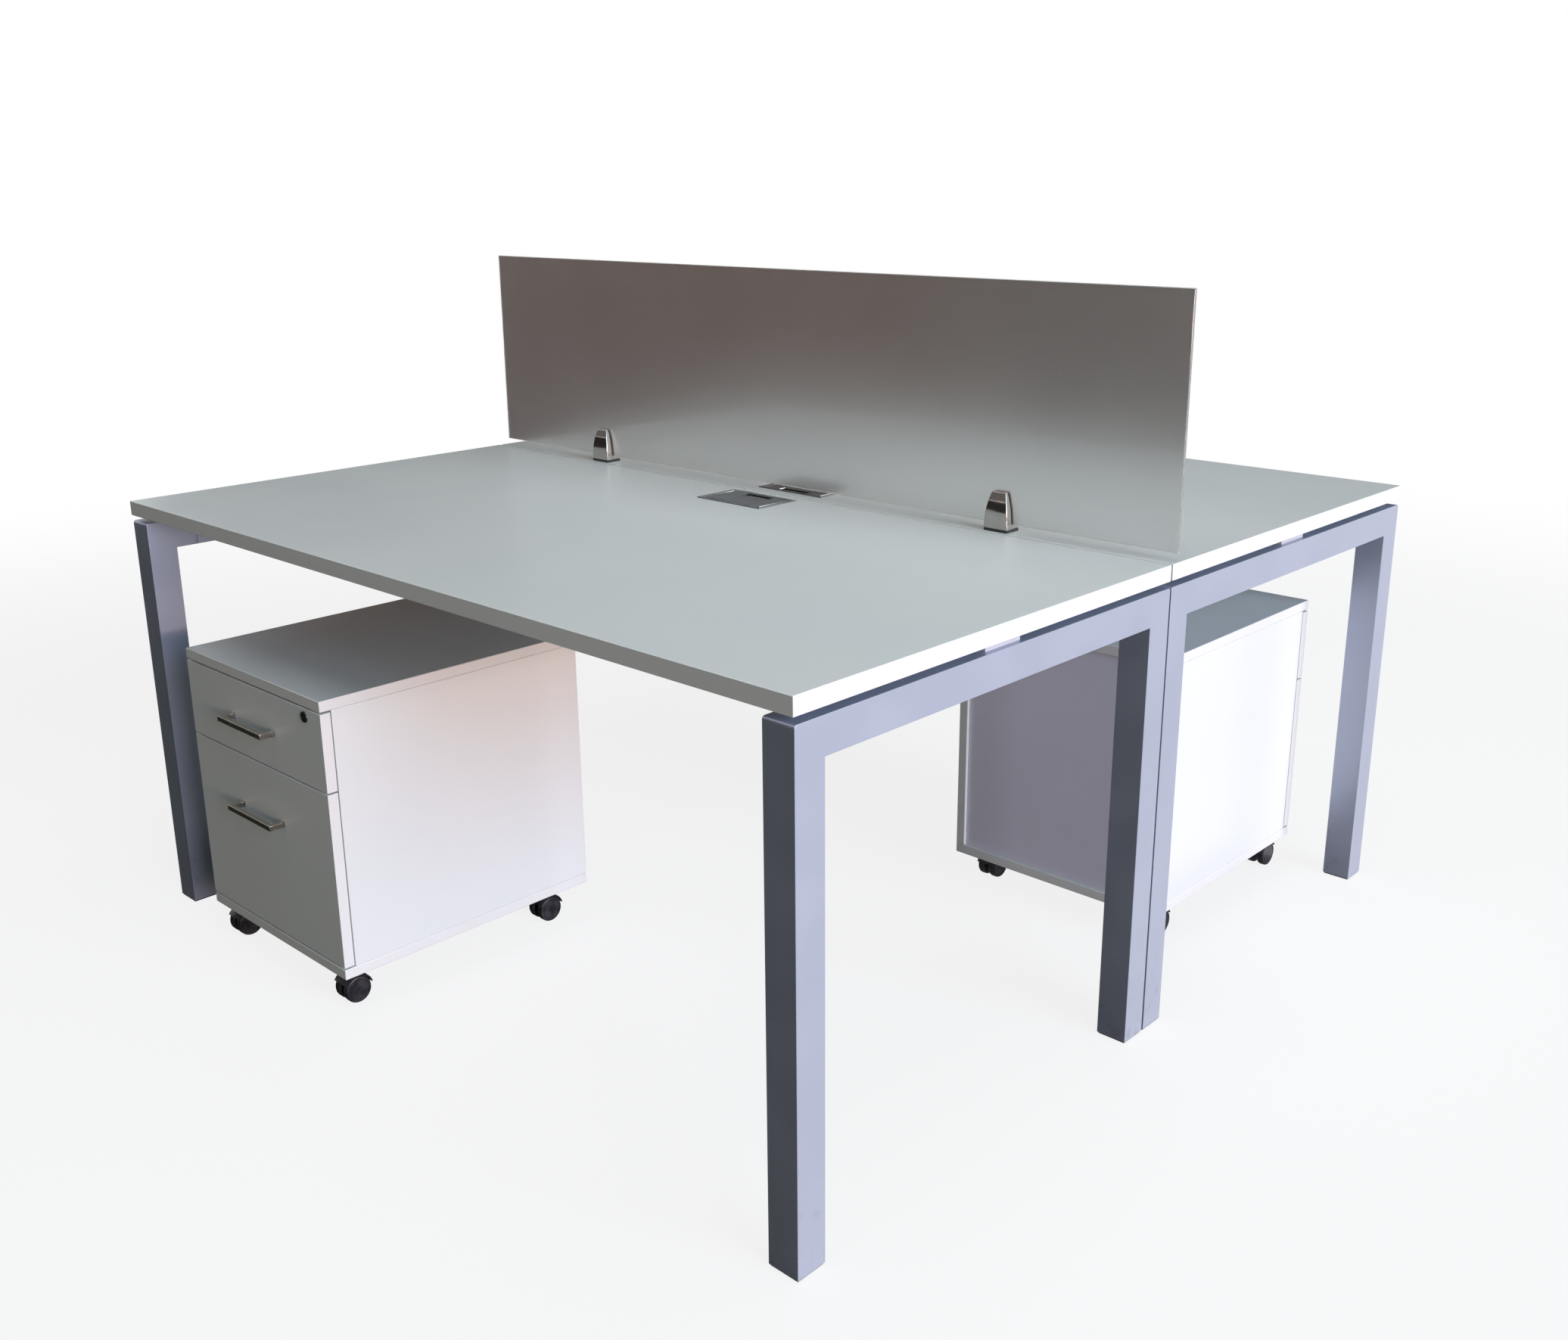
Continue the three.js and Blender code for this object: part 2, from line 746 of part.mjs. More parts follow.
function baseGeometry() {
  const panel = block(-halfWidth, halfWidth, frontFace, halfDepth, castorHeight, baseTop - seam);
  const stemHoles = Object.values(castorPlaces()).map(([x, y]) =>
    barZ(stemRadius + stemPlay, castorHeight - stemLength, castorHeight + stemLength + stemPlay, x, y, 12),
  );
  return cut(panel, ...stemHoles);
}

function addPedestal(parent, name) {
  const add = (piece, geometry, finish) => addPiece(parent, `pedestal_${name}_${piece}`, geometry, finish);
  const innerSide = halfWidth - boardThickness;
  const left = block(-halfWidth, -innerSide, carcassFront, halfDepth, baseTop, lidUnderside);
  const right = block(innerSide, halfWidth, carcassFront, halfDepth, baseTop, lidUnderside);
  const back = block(
    -innerSide + seam,
    innerSide - seam,
    backFace - boardThickness,
    backFace,
    baseTop,
    lidUnderside,
  );
  const lowerFront = block(-halfWidth, halfWidth, frontFace, frontBack, lowerFrontBottom, lowerFrontTop);
  const upperBoxTop = lockZ - lockBarrelRadius - lockBoxGap;
  const upperBox = drawerBoxGeometry(upperFrontBottom + boxLift, upperBoxTop);
  const lowerBox = drawerBoxGeometry(lowerFrontBottom + boxLift, lowerFrontTop - lowerBoxDrop);
  const upperHandle = handleGeometry((upperFrontBottom + upperFrontTop) / 2);
  add('top', topGeometry(), finishes.melamine);
  add('base', baseGeometry(), finishes.melamine);
  add('side_left', left, finishes.melamine);
  add('side_right', right, finishes.melamine);
  add('back', back, finishes.melamine);
  add('upper_front', upperFrontGeometry(), finishes.melamine);
  add('lower_front', lowerFront, finishes.melamine);
  add('upper_box', upperBox, finishes.drawerBox);
  add('lower_box', lowerBox, finishes.drawerBox);
  add('upper_handle', upperHandle, finishes.brushedSteel);
  add('lower_handle', handleGeometry(lowerFrontTop - lowerHandleDrop), finishes.brushedSteel);
  add('lock', lockGeometry(), finishes.lockBlack);
  for (const [place, [x, y]] of Object.entries(castorPlaces())) {
    add(`castor_${place}`, castorHousingGeometry().translate(x, y, 0), finishes.castorPlastic);
    add(`wheels_${place}`, castorWheelsGeometry().translate(x, y, 0), finishes.castorPlastic);
  }
}

// The whole set, centred over its own floor plan
const bench = new THREE.Group();
bench.position.y = (frontReach - rearReach) / 2;

const frontDesk = new THREE.Group();
addDesk(frontDesk, 'front', frontFlapOffset, 'left', 'right');
const rearDesk = new THREE.Group();
addDesk(rearDesk, 'rear', -rearFlapOffset, 'right', 'left');
rearDesk.rotation.z = Math.PI;
bench.add(frontDesk, rearDesk);
addScreen(bench);

const legInner = deskLength / 2 - tubeSize;
const frontPedestal = new THREE.Group();
addPedestal(frontPedestal, 'front');
frontPedestal.position.set(
  -legInner + frontPedestalLegGap + halfWidth,
  -deskDepth - frontPedestalReach + halfDepth,
  0,
);
const rearPedestal = new THREE.Group();
addPedestal(rearPedestal, 'rear');
rearPedestal.rotation.z = Math.PI;
rearPedestal.position.set(
  legInner - rearPedestalLegGap - halfWidth,
  deskDepth - rearPedestalSetback - halfDepth,
  0,
);
bench.add(frontPedestal, rearPedestal);

export default bench;
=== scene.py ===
import json
import math
import random

import bmesh
import bpy
from mathutils import Matrix, Vector


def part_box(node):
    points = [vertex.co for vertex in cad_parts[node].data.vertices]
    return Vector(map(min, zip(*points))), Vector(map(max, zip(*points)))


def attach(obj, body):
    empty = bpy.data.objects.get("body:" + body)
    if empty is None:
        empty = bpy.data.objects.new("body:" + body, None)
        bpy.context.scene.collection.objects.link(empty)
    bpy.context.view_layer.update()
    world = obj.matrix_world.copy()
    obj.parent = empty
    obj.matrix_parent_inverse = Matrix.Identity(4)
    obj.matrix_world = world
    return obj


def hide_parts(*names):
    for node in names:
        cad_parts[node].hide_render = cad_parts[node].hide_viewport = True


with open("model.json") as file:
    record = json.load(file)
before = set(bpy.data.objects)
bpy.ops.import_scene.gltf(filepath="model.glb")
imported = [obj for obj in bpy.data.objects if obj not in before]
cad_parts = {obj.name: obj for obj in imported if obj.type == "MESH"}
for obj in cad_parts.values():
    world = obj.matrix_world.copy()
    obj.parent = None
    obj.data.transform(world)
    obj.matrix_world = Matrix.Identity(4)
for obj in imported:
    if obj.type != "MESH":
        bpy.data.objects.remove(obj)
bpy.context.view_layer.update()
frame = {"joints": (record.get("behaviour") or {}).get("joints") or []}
scene = bpy.context.scene
jointPlace = {j["name"]: Vector(j["pos_m"]) for j in frame["joints"] if j["type"] == "hinge"}
print("frame loaded, sizes in metres")


# Node helpers

def addNode(tree, kind, values=None, **settings):
    node = tree.nodes.new(kind)
    for name, value in settings.items():
        setattr(node, name, value)
    for name, value in (values or {}).items():
        if isinstance(value, bpy.types.NodeSocket):
            tree.links.new(value, node.inputs[name])
        else:
            node.inputs[name].default_value = value
    return node


def mathNode(tree, operation, first, second, clamp=False):
    return addNode(tree, "ShaderNodeMath", {0: first, 1: second}, operation=operation, use_clamp=clamp).outputs[0]


def stretch(tree, value, low, high, newLow, newHigh):
    values = {"Value": value, "From Min": low, "From Max": high, "To Min": newLow, "To Max": newHigh}
    return addNode(tree, "ShaderNodeMapRange", values, interpolation_type="SMOOTHSTEP").outputs[0]


def mixTones(tree, amount, first, second, blend="MIX"):
    node = addNode(tree, "ShaderNodeMix", {0: amount}, data_type="RGBA", blend_type=blend)
    for index, tone in ((6, first), (7, second)):
        if isinstance(tone, bpy.types.NodeSocket):
            tree.links.new(tone, node.inputs[index])
        else:
            node.inputs[index].default_value = (*tone, 1)
    return node.outputs[2]


def newGroup(name, inputs, outputs):
    group = bpy.data.node_groups.new(name, "ShaderNodeTree")
    for label, kind, value in inputs:
        socket = group.interface.new_socket(label, in_out="INPUT", socket_type=kind)
        if value is not None:
            socket.default_value = value
    for label in outputs:
        group.interface.new_socket(label, in_out="OUTPUT", socket_type="NodeSocketFloat")
    return group, group.nodes.new("NodeGroupInput").outputs, group.nodes.new("NodeGroupOutput").inputs


# Fine grain over soft clouds, for board, paint and moulded plastic
def makeGrainGroup():
    group, given, result = newGroup(
        "fineGrain",
        [("Vector", "NodeSocketVector", None), ("Grain", "NodeSocketFloat", 900), ("Clouds", "NodeSocketFloat", 6)],
        ["Grain", "Clouds"],
    )
    fine = addNode(group, "ShaderNodeTexNoise", {"Vector": given[0], "Scale": given[1], "Detail": 2})
    broad = addNode(group, "ShaderNodeTexNoise", {"Vector": given[0], "Scale": given[2], "Detail": 1})
    group.links.new(fine.outputs["Fac"], result[0])
    group.links.new(broad.outputs["Fac"], result[1])
    return group


# Long fine lines, for brushed and polished metal
def makeBrushedGroup():
    group, given, result = newGroup(
        "brushedLines",
        [("Vector", "NodeSocketVector", None), ("Across", "NodeSocketVector", (1, 1, 1)),
         ("Lines", "NodeSocketFloat", 1500)],
        ["Lines"],
    )
    drawn = addNode(group, "ShaderNodeVectorMath", {0: given[0], 1: given[1]}, operation="MULTIPLY")
    noise = addNode(group, "ShaderNodeTexNoise", {"Vector": drawn.outputs[0], "Scale": given[2], "Detail": 2})
    group.links.new(noise.outputs["Fac"], result[0])
    return group


# Faint shoe and wheel marks that fade out above the floor
def makeScuffGroup():
    group, given, result = newGroup(
        "floorScuffs",
        [("Vector", "NodeSocketVector", None), ("Reach", "NodeSocketFloat", 0.2), ("Strength", "NodeSocketFloat", 0.5)],
        ["Marks"],
    )
    height = addNode(group, "ShaderNodeSeparateXYZ", {0: given[0]}).outputs["Z"]
    fade = mathNode(group, "SUBTRACT", 1, mathNode(group, "DIVIDE", height, given[1]), clamp=True)
    marks = addNode(group, "ShaderNodeTexNoise", {"Vector": given[0], "Scale": 45, "Detail": 6, "Roughness": 0.7})
    spots = stretch(group, marks.outputs["Fac"], 0.5, 0.72, 0, 1)
    faded = mathNode(group, "MULTIPLY", fade, spots)
    group.links.new(mathNode(group, "MULTIPLY", faded, given[2]), result[0])
    return group


grainGroup = makeGrainGroup()
brushedGroup = makeBrushedGroup()
scuffGroup = makeScuffGroup()
print("shared surface effects ready")


# A Principled material with a toned, grained surface; plain numbers go straight on the shader
def makeFinish(name, look, sockets=None):
    material = bpy.data.materials.new(name)
    material.use_nodes = True
    tree = material.node_tree
    shader = tree.nodes["Principled BSDF"]
    for socket, value in (sockets or {}).items():
        shader.inputs[socket].default_value = value
    place = tree.nodes.new("ShaderNodeTexCoord").outputs["Object"]
    grain = addNode(tree, "ShaderNodeGroup", node_tree=grainGroup)
    tree.links.new(place, grain.inputs["Vector"])
    grain.inputs["Grain"].default_value = look["grain"]
    grain.inputs["Clouds"].default_value = look["clouds"]
    clouds = stretch(tree, grain.outputs["Clouds"], 0.3, 0.7, 0, 1)
    height = grain.outputs["Grain"]
    tone = clouds
    if "across" in look:
        brushed = addNode(tree, "ShaderNodeGroup", node_tree=brushedGroup)
        tree.links.new(place, brushed.inputs["Vector"])
        brushed.inputs["Across"].default_value = look["across"]
        brushed.inputs["Lines"].default_value = look["lines"]
        height = brushed.outputs["Lines"]
        tone = mathNode(tree, "MULTIPLY", brushed.outputs["Lines"], 0.7)
        tone = mathNode(tree, "ADD", tone, mathNode(tree, "MULTIPLY", clouds, 0.3), clamp=True)
    colour = mixTones(tree, tone, look["dark"], look["light"])
    if "scuffReach" in look:
        scuffs = addNode(tree, "ShaderNodeGroup", node_tree=scuffGroup)
        tree.links.new(place, scuffs.inputs["Vector"])
        scuffs.inputs["Reach"].default_value = look["scuffReach"]
        scuffs.inputs["Strength"].default_value = look["scuffStrength"]
        colour = mixTones(tree, scuffs.outputs["Marks"], colour, look["scuffTone"])
    tree.links.new(colour, shader.inputs["Base Color"])
    smooth, rough = look["rough"]
    tree.links.new(stretch(tree, tone, 0, 1, smooth, rough), shader.inputs["Roughness"])
    bump = addNode(tree, "ShaderNodeBump", {"Height": height, "Strength": look["bump"], "Distance": look["depth"]})
    tree.links.new(bump.outputs["Normal"], shader.inputs["Normal"])
    return material


# Finishes
boardLook = {
    "light": (0.812, 0.85, 0.846), "dark": (0.794, 0.844, 0.842), "rough": (0.255, 0.265),
    "grain": 1400, "clouds": 5, "bump": 0.12, "depth": 0.0002,
}
backLook = {
    "light": (0.79, 0.79, 0.91), "dark": (0.775, 0.775, 0.9), "rough": (0.35, 0.4),
    "grain": 1400, "clouds": 5, "bump": 0.12, "depth": 0.0002,
}
bandLook = {
    "light": (0.82, 0.845, 0.835), "dark": (0.812, 0.837, 0.827), "rough": (0.31, 0.33),
    "grain": 1900, "clouds": 14, "bump": 0.1, "depth": 0.0001,
}
chipLook = {
    "light": (0.5, 0.36, 0.22), "dark": (0.2, 0.13, 0.07), "rough": (0.75, 0.9),
    "grain": 420, "clouds": 260, "bump": 0.6, "depth": 0.0006,
}
paintLook = {
    "light": (0.44, 0.48, 0.595), "dark": (0.425, 0.465, 0.58), "rough": (0.33, 0.37),
    "grain": 1100, "clouds": 9, "bump": 0.16, "depth": 0.0002,
    "scuffReach": 0.16, "scuffStrength": 0.35, "scuffTone": (0.16, 0.16, 0.19),
}
chromeLook = {
    "light": (0.54, 0.51, 0.485), "dark": (0.46, 0.435, 0.41), "rough": (0.05, 0.12),
    "grain": 700, "clouds": 60, "bump": 0.05, "depth": 0.0001,
    "across": (1, 1, 0.04), "lines": 1600,
}
flapLook = {
    "light": (0.42, 0.505, 0.56), "dark": (0.35, 0.42, 0.465), "rough": (0.25, 0.33),
    "grain": 900, "clouds": 40, "bump": 0.12, "depth": 0.0001,
    "across": (0.03, 1, 1), "lines": 1400,
}
# Bright metal for flap bevels facing along x: painted highlight lines
paintedHighlightLook = {
    "light": (0.84, 0.86, 0.87), "dark": (0.76, 0.78, 0.79), "rough": (0.36, 0.45),
    "grain": 900, "clouds": 40, "bump": 0.05, "depth": 0.0001,
}
# Dark metal for flap bevels facing along y and the rim's upright sides: painted shade lines
shadeLook = {
    "light": (0.13, 0.135, 0.14), "dark": (0.1, 0.105, 0.11), "rough": (0.5, 0.6),
    "grain": 900, "clouds": 40, "bump": 0.05, "depth": 0.0001,
}
handleLook = {
    "light": (0.46, 0.42, 0.38), "dark": (0.33, 0.3, 0.27), "rough": (0.16, 0.3),
    "grain": 900, "clouds": 60, "bump": 0.14, "depth": 0.0001,
    "across": (0.03, 1, 1), "lines": 2200,
}
spacerLook = {
    "light": (0.52, 0.525, 0.57), "dark": (0.5, 0.505, 0.55), "rough": (0.5, 0.6),
    "grain": 1100, "clouds": 25, "bump": 0.12, "depth": 0.0001,
}
zincLook = {
    "light": (0.56, 0.57, 0.58), "dark": (0.51, 0.52, 0.535), "rough": (0.28, 0.34),
    "grain": 900, "clouds": 60, "bump": 0.05, "depth": 0.0001,
}
blackLook = {
    "light": (0.028, 0.027, 0.033), "dark": (0.014, 0.013, 0.017), "rough": (0.34, 0.5),
    "grain": 1600, "clouds": 30, "bump": 0.25, "depth": 0.0002,
    "scuffReach": 0.07, "scuffStrength": 0.25, "scuffTone": (0.12, 0.11, 0.11),
}
wheelLook = {
    "light": (0.034, 0.032, 0.04), "dark": (0.018, 0.017, 0.022), "rough": (0.26, 0.42),
    "grain": 900, "clouds": 55, "bump": 0.12, "depth": 0.0002,
    "scuffReach": 0.05, "scuffStrength": 0.4, "scuffTone": (0.1, 0.095, 0.09),
}
lockLook = {
    "light": (0.02, 0.02, 0.023), "dark": (0.01, 0.01, 0.012), "rough": (0.22, 0.34),
    "grain": 900, "clouds": 90, "bump": 0.1, "depth": 0.0001,
}
foilLook = {
    "light": (0.62, 0.64, 0.63), "dark": (0.55, 0.57, 0.56), "rough": (0.4, 0.55),
    "grain": 900, "clouds": 8, "bump": 0.12, "depth": 0.0002,
}
bristleLook = {
    "light": (0.008, 0.008, 0.008), "dark": (0.003, 0.003, 0.003), "rough": (0.7, 0.85),
    "grain": 2500, "clouds": 400, "bump": 0.3, "depth": 0.0003,
}

board = makeFinish("whiteMelamine", boardLook, {"IOR": 1.5})
backBoard = makeFinish("paleLavenderBoard", backLook, {"IOR": 1.5})
edgeBand = makeFinish("whiteEdgeBand", bandLook, {"IOR": 1.5})
rawBoard = makeFinish("rawChipboard", chipLook)
framePaint = makeFinish("lavenderPowderCoat", paintLook, {"Metallic": 0.6, "IOR": 1.4})
chrome = makeFinish("polishedChrome", chromeLook, {"Metallic": 1})
flapMetal = makeFinish("satinFlapMetal", flapLook, {"Metallic": 0.9})
paintedHighlightMetal = makeFinish("paintedHighlightEdge", paintedHighlightLook, {"Metallic": 1})
shadeMetal = makeFinish("paintedShadeFlapEdge", shadeLook, {"Metallic": 0.5})
handleMetal = makeFinish("brushedNickel", handleLook, {"Metallic": 1})
paleSpacer = makeFinish("paleSpacer", spacerLook)
zinc = makeFinish("zincPlate", zincLook, {"Metallic": 1})
blackPlastic = makeFinish("blackMouldedPlastic", blackLook)
wheelPlastic = makeFinish("blackWheelPlastic", wheelLook)
lockBlack = makeFinish("satinBlackLock", lockLook, {"Metallic": 0.3})
drawerFoil = makeFinish("paleDrawerFoil", foilLook)
bristle = makeFinish("blackBristle", bristleLook, {"Specular IOR Level": 0.06})

# Frosted screen: a translucent body under a glossy skin
screenLook = {"name": "frostedScreen", "tint": (0.86, 0.86, 0.85), "shade": (0.83, 0.83, 0.82), "rough": (0.33, 0.345)}


def makeScreenFinish(look):
    material = bpy.data.materials.new(look["name"])
    material.use_nodes = True
    tree = material.node_tree
    shader = tree.nodes["Principled BSDF"]
    shader.inputs["IOR"].default_value = 1.45
    shader.inputs["Transmission Weight"].default_value = 0.92
    shader.inputs["Coat Weight"].default_value = 1
    shader.inputs["Coat Roughness"].default_value = 0.04
    place = tree.nodes.new("ShaderNodeTexCoord").outputs["Object"]
    grain = addNode(tree, "ShaderNodeGroup", node_tree=grainGroup)
    tree.links.new(place, grain.inputs["Vector"])
    grain.inputs["Grain"].default_value = 2200
    grain.inputs["Clouds"].default_value = 3
    clouds = stretch(tree, grain.outputs["Clouds"], 0.3, 0.7, 0, 1)
    tree.links.new(mixTones(tree, clouds, look["shade"], look["tint"]), shader.inputs["Base Color"])
    tree.links.new(stretch(tree, clouds, 0, 1, *look["rough"]), shader.inputs["Roughness"])
    bump = addNode(tree, "ShaderNodeBump", {"Height": grain.outputs["Grain"], "Strength": 0.01, "Distance": 0.0001})
    tree.links.new(bump.outputs["Normal"], shader.inputs["Normal"])
    return material


screenEdgeLook = {
    "name": "polishedScreenEdge", "tint": (0.88, 0.89, 0.88), "shade": (0.84, 0.85, 0.84), "rough": (0.14, 0.18),
}
screenSheet = makeScreenFinish(screenLook)
screenEdge = makeScreenFinish(screenEdgeLook)
# The screen's downward faces take a pale opaque finish: a painted light line along its bottom edge
paintedLightEdgeLook = {
    "light": (0.82, 0.83, 0.82), "dark": (0.78, 0.79, 0.78), "rough": (0.35, 0.45),
    "grain": 900, "clouds": 30, "bump": 0.05, "depth": 0.0001,
}
paintedLightLowerEdge = makeFinish("paintedLightScreenEdge", paintedLightEdgeLook, {"IOR": 1.5})
print("finishes made")


# Mesh helpers

def boxShape(low, high):
    low, high = Vector(low), Vector(high)
    bm = bmesh.new()
    bmesh.ops.create_cube(bm, size=1)
    bmesh.ops.scale(bm, vec=high - low, verts=bm.verts)
    bmesh.ops.translate(bm, vec=(low + high) / 2, verts=bm.verts)
    return bm


def sharpEdges(bm, limit=0.6):
    return [edge for edge in bm.edges if edge.calc_face_angle(0) > limit]


def roundEdges(bm, edges, width, segments=3):
    made = bmesh.ops.bevel(
        bm, geom=edges, offset=width, offset_type="OFFSET", affect="EDGES",
        segments=segments, profile=0.5, material=-1, clamp_overlap=True,
    )
    for face in made["faces"]:
        face.smooth = True


def roundBox(low, high, width, segments=3):
    bm = boxShape(low, high)
    roundEdges(bm, bm.edges[:], width, segments)
    return bm


def smoothShape(bm, limit=0.6):
    for face in bm.faces:
        face.smooth = True
    for edge in sharpEdges(bm, limit):
        edge.smooth = False


# A flat face drawn by its corners, given thickness along a vector
def thickFace(corners, thickness):
    bm = bmesh.new()
    face = bm.faces.new([bm.verts.new(corner) for corner in corners])
    made = bmesh.ops.extrude_face_region(bm, geom=[face], use_keep_orig=True)
    moved = [item for item in made["geom"] if isinstance(item, bmesh.types.BMVert)]
    bmesh.ops.translate(bm, vec=thickness, verts=moved)
    bmesh.ops.recalc_face_normals(bm, faces=bm.faces)
    return bm


# A flat plate with a rectangular hole through it
def plateWithHole(low, high, holeLow, holeHigh):
    bm = bmesh.new()
    bmesh.ops.create_grid(bm, x_segments=3, y_segments=3, size=1.5)
    columns = (low[0], holeLow[0], holeHigh[0], high[0])
    rows = (low[1], holeLow[1], holeHigh[1], high[1])
    for vert in bm.verts:
        vert.co = (columns[round(vert.co.x + 1.5)], rows[round(vert.co.y + 1.5)], low[2])
    middle = min(bm.faces, key=lambda face: (face.calc_center_median() - holeMiddle(holeLow, holeHigh, low)).length)
    bmesh.ops.delete(bm, geom=[middle], context="FACES_ONLY")
    made = bmesh.ops.extrude_face_region(bm, geom=bm.faces[:], use_keep_orig=True)
    moved = [item for item in made["geom"] if isinstance(item, bmesh.types.BMVert)]
    bmesh.ops.translate(bm, vec=(0, 0, high[2] - low[2]), verts=moved)
    bmesh.ops.recalc_face_normals(bm, faces=bm.faces)
    return bm


def holeMiddle(holeLow, holeHigh, low):
    return Vector(((holeLow[0] + holeHigh[0]) / 2, (holeLow[1] + holeHigh[1]) / 2, low[2]))


# A turned shape: the profile gives (radius, distance along the axis), from axis to axis
def turned(profile, centre, axis, steps=28):
    bm = bmesh.new()
    verts = [bm.verts.new((radius, 0, along)) for radius, along in profile]
    for first, second in zip(verts, verts[1:]):
        bm.edges.new((first, second))
    bmesh.ops.spin(
        bm, geom=bm.verts[:] + bm.edges[:], cent=(0, 0, 0), axis=(0, 0, 1),
        angle=2 * math.pi, steps=steps, use_merge=True,
    )
    bmesh.ops.remove_doubles(bm, verts=bm.verts, dist=1e-6)
    bmesh.ops.recalc_face_normals(bm, faces=bm.faces)
    aim = Vector((0, 0, 1)).rotation_difference(Vector(axis)).to_matrix().to_4x4()
    bmesh.ops.transform(bm, matrix=Matrix.Translation(centre) @ aim, verts=bm.verts)
    smoothShape(bm)
    return bm


def combine(*shapes):
    whole = bmesh.new()
    for shape in shapes:
        mesh = bpy.data.meshes.new("shape")
        shape.to_mesh(mesh)
        shape.free()
        whole.from_mesh(mesh)
        bpy.data.meshes.remove(mesh)
    return whole


def paintFaces(bm, index, test):
    for face in bm.faces:
        if test(face):
            face.material_index = index


def addPiece(name, bm, finishes, body, replaced=()):
    mesh = bpy.data.meshes.new(name)
    bm.to_mesh(mesh)
    bm.free()
    for finish in finishes:
        mesh.materials.append(finish)
    piece = bpy.data.objects.new(name, mesh)
    scene.collection.objects.link(piece)
    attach(piece, body)
    for node in replaced:
        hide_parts(node)
    return piece


# Camera at the photograph's viewpoint
cameraValues = {
    "place": (1.893, -1.9345, 1.2975), "yaw": 43.2464, "pitch": -16.7884, "roll": -0.3572,
    "focalPixels": 2051.6, "middle": (1049.6, 853.8), "picture": (2072, 1771), "sensor": 36,
}


def makeCamera(values):
    yaw, pitch, roll = (math.radians(values[name]) for name in ("yaw", "pitch", "roll"))
    level = math.cos(pitch)
    forward = Vector((-math.sin(yaw) * level, math.cos(yaw) * level, math.sin(pitch)))
    right = Vector((math.cos(yaw), math.sin(yaw), 0))
    up = right.cross(forward)
    rolledRight = right * math.cos(roll) + up * math.sin(roll)
    rolledUp = up * math.cos(roll) - right * math.sin(roll)
    turn = Matrix((rolledRight, rolledUp, -forward)).transposed().to_4x4()
    data = bpy.data.cameras.new("camera")
    width, height = values["picture"]
    data.sensor_width = values["sensor"]
    data.lens = values["focalPixels"] * values["sensor"] / width
    data.shift_x = (width / 2 - values["middle"][0]) / width
    data.shift_y = (values["middle"][1] - height / 2) / width
    camera = bpy.data.objects.new("camera", data)
    camera.matrix_world = Matrix.Translation(values["place"]) @ turn
    scene.collection.objects.link(camera)
    scene.camera = camera


makeCamera(cameraValues)

# Studio: a warm low and a cool high softbox at the side, a top softbox, a front fill, a pale floor,
# and dark flags and cloths that only reflections see
lampValues = {
    "lowSideSoftbox": {
        "place": (20, -1.1, 2.65), "aim": (0, -0.8, 0.5), "size": (15.4, 3.1), "power": 3260, "tint": (1, 0.75, 0.68),
    },
    "highSideSoftbox": {
        "place": (20, -1.1, 8.2), "aim": (0, -0.8, 0.5), "size": (15.4, 8.1), "power": 3300, "tint": (0.505, 0.738, 1),
    },
    "topSoftbox": {
        "place": (0.85, 0, 3.8), "aim": (0.7, 0, 0), "size": (3.6, 2.2), "power": 52.5, "tint": (0.98, 1, 0.95),
    },
    "frontFill": {
        "place": (-1, -8, 1.6), "aim": (-0.3, 0, 0.5), "size": (8, 3), "power": 21.5, "tint": (1, 0.95, 0.5),
    },
    "rearFill": {
        "place": (-4.6, 8.4, 1.1), "aim": (0, 0, 0.45), "size": (9, 2), "power": 175, "tint": (1, 0.98, 0.95),
        "mirrored": False,
    },
}
stageValues = {
    "ambient": 0.062, "ambientTone": (1, 0.95, 0.78), "floorSize": 60, "floorDrop": 0.0004,
    "floorTone": (0.88, 0.88, 0.88), "bounceTone": (0.13, 0.125, 0.13),
    "nearGlow": 0.84, "fadeStart": 2.2, "fadeEnd": 5,
}
flagValues = {
    "frontFlag": {"low": (-9, -4.4, 0), "high": (7, -4.35, 1.66), "tone": (0.035, 0.03, 0.028)},
    "frontUpperFlag": {"low": (-9, -4.4, 1.74), "high": (7, -4.35, 4.2), "tone": (0.19, 0.18, 0.17)},
    "frontCloth": {"low": (-9, -4.4, 0.001), "high": (0.8, -0.026, 0.002), "tone": (0.03, 0.036, 0.034)},
    "middleCloth": {"low": (-9, -0.026, 0.001), "high": (0.8, 0.773, 0.002), "tone": (0.2, 0.2, 0.22)},
    "rearFlag": {"low": (-10, 3.3, 0), "high": (-2.1, 3.35, 4.2), "tone": (0.085, 0.036, 0.02)},
    "rearGreyFlag": {"low": (-2.1, 3.3, 0), "high": (0.3, 3.35, 4.2), "tone": (0.085, 0.068, 0.063)},
    "rearCloth": {"low": (-10, 0.9, 0.001), "high": (-0.85, 3.3, 0.002), "tone": (0.13, 0.112, 0.12)},
}


def makeLamps():
    for name, values in lampValues.items():
        data = bpy.data.lights.new(name, "AREA")
        data.shape = "RECTANGLE"
        data.size, data.size_y = values["size"]
        data.energy = values["power"]
        data.color = values["tint"]
        lamp = bpy.data.objects.new(name, data)
        place = Vector(values["place"])
        turn = (Vector(values["aim"]) - place).to_track_quat("-Z", "Y").to_matrix().to_4x4()
        lamp.matrix_world = Matrix.Translation(place) @ turn
        lamp.visible_glossy = values.get("mirrored", True)
        lamp.visible_transmission = lamp.visible_glossy
        scene.collection.objects.link(lamp)


def seenRays(tree):
    rays = tree.nodes.new("ShaderNodeLightPath").outputs
    seen = mathNode(tree, "MAXIMUM", rays["Is Camera Ray"], rays["Is Glossy Ray"])
    return mathNode(tree, "MAXIMUM", seen, rays["Is Transmission Ray"])


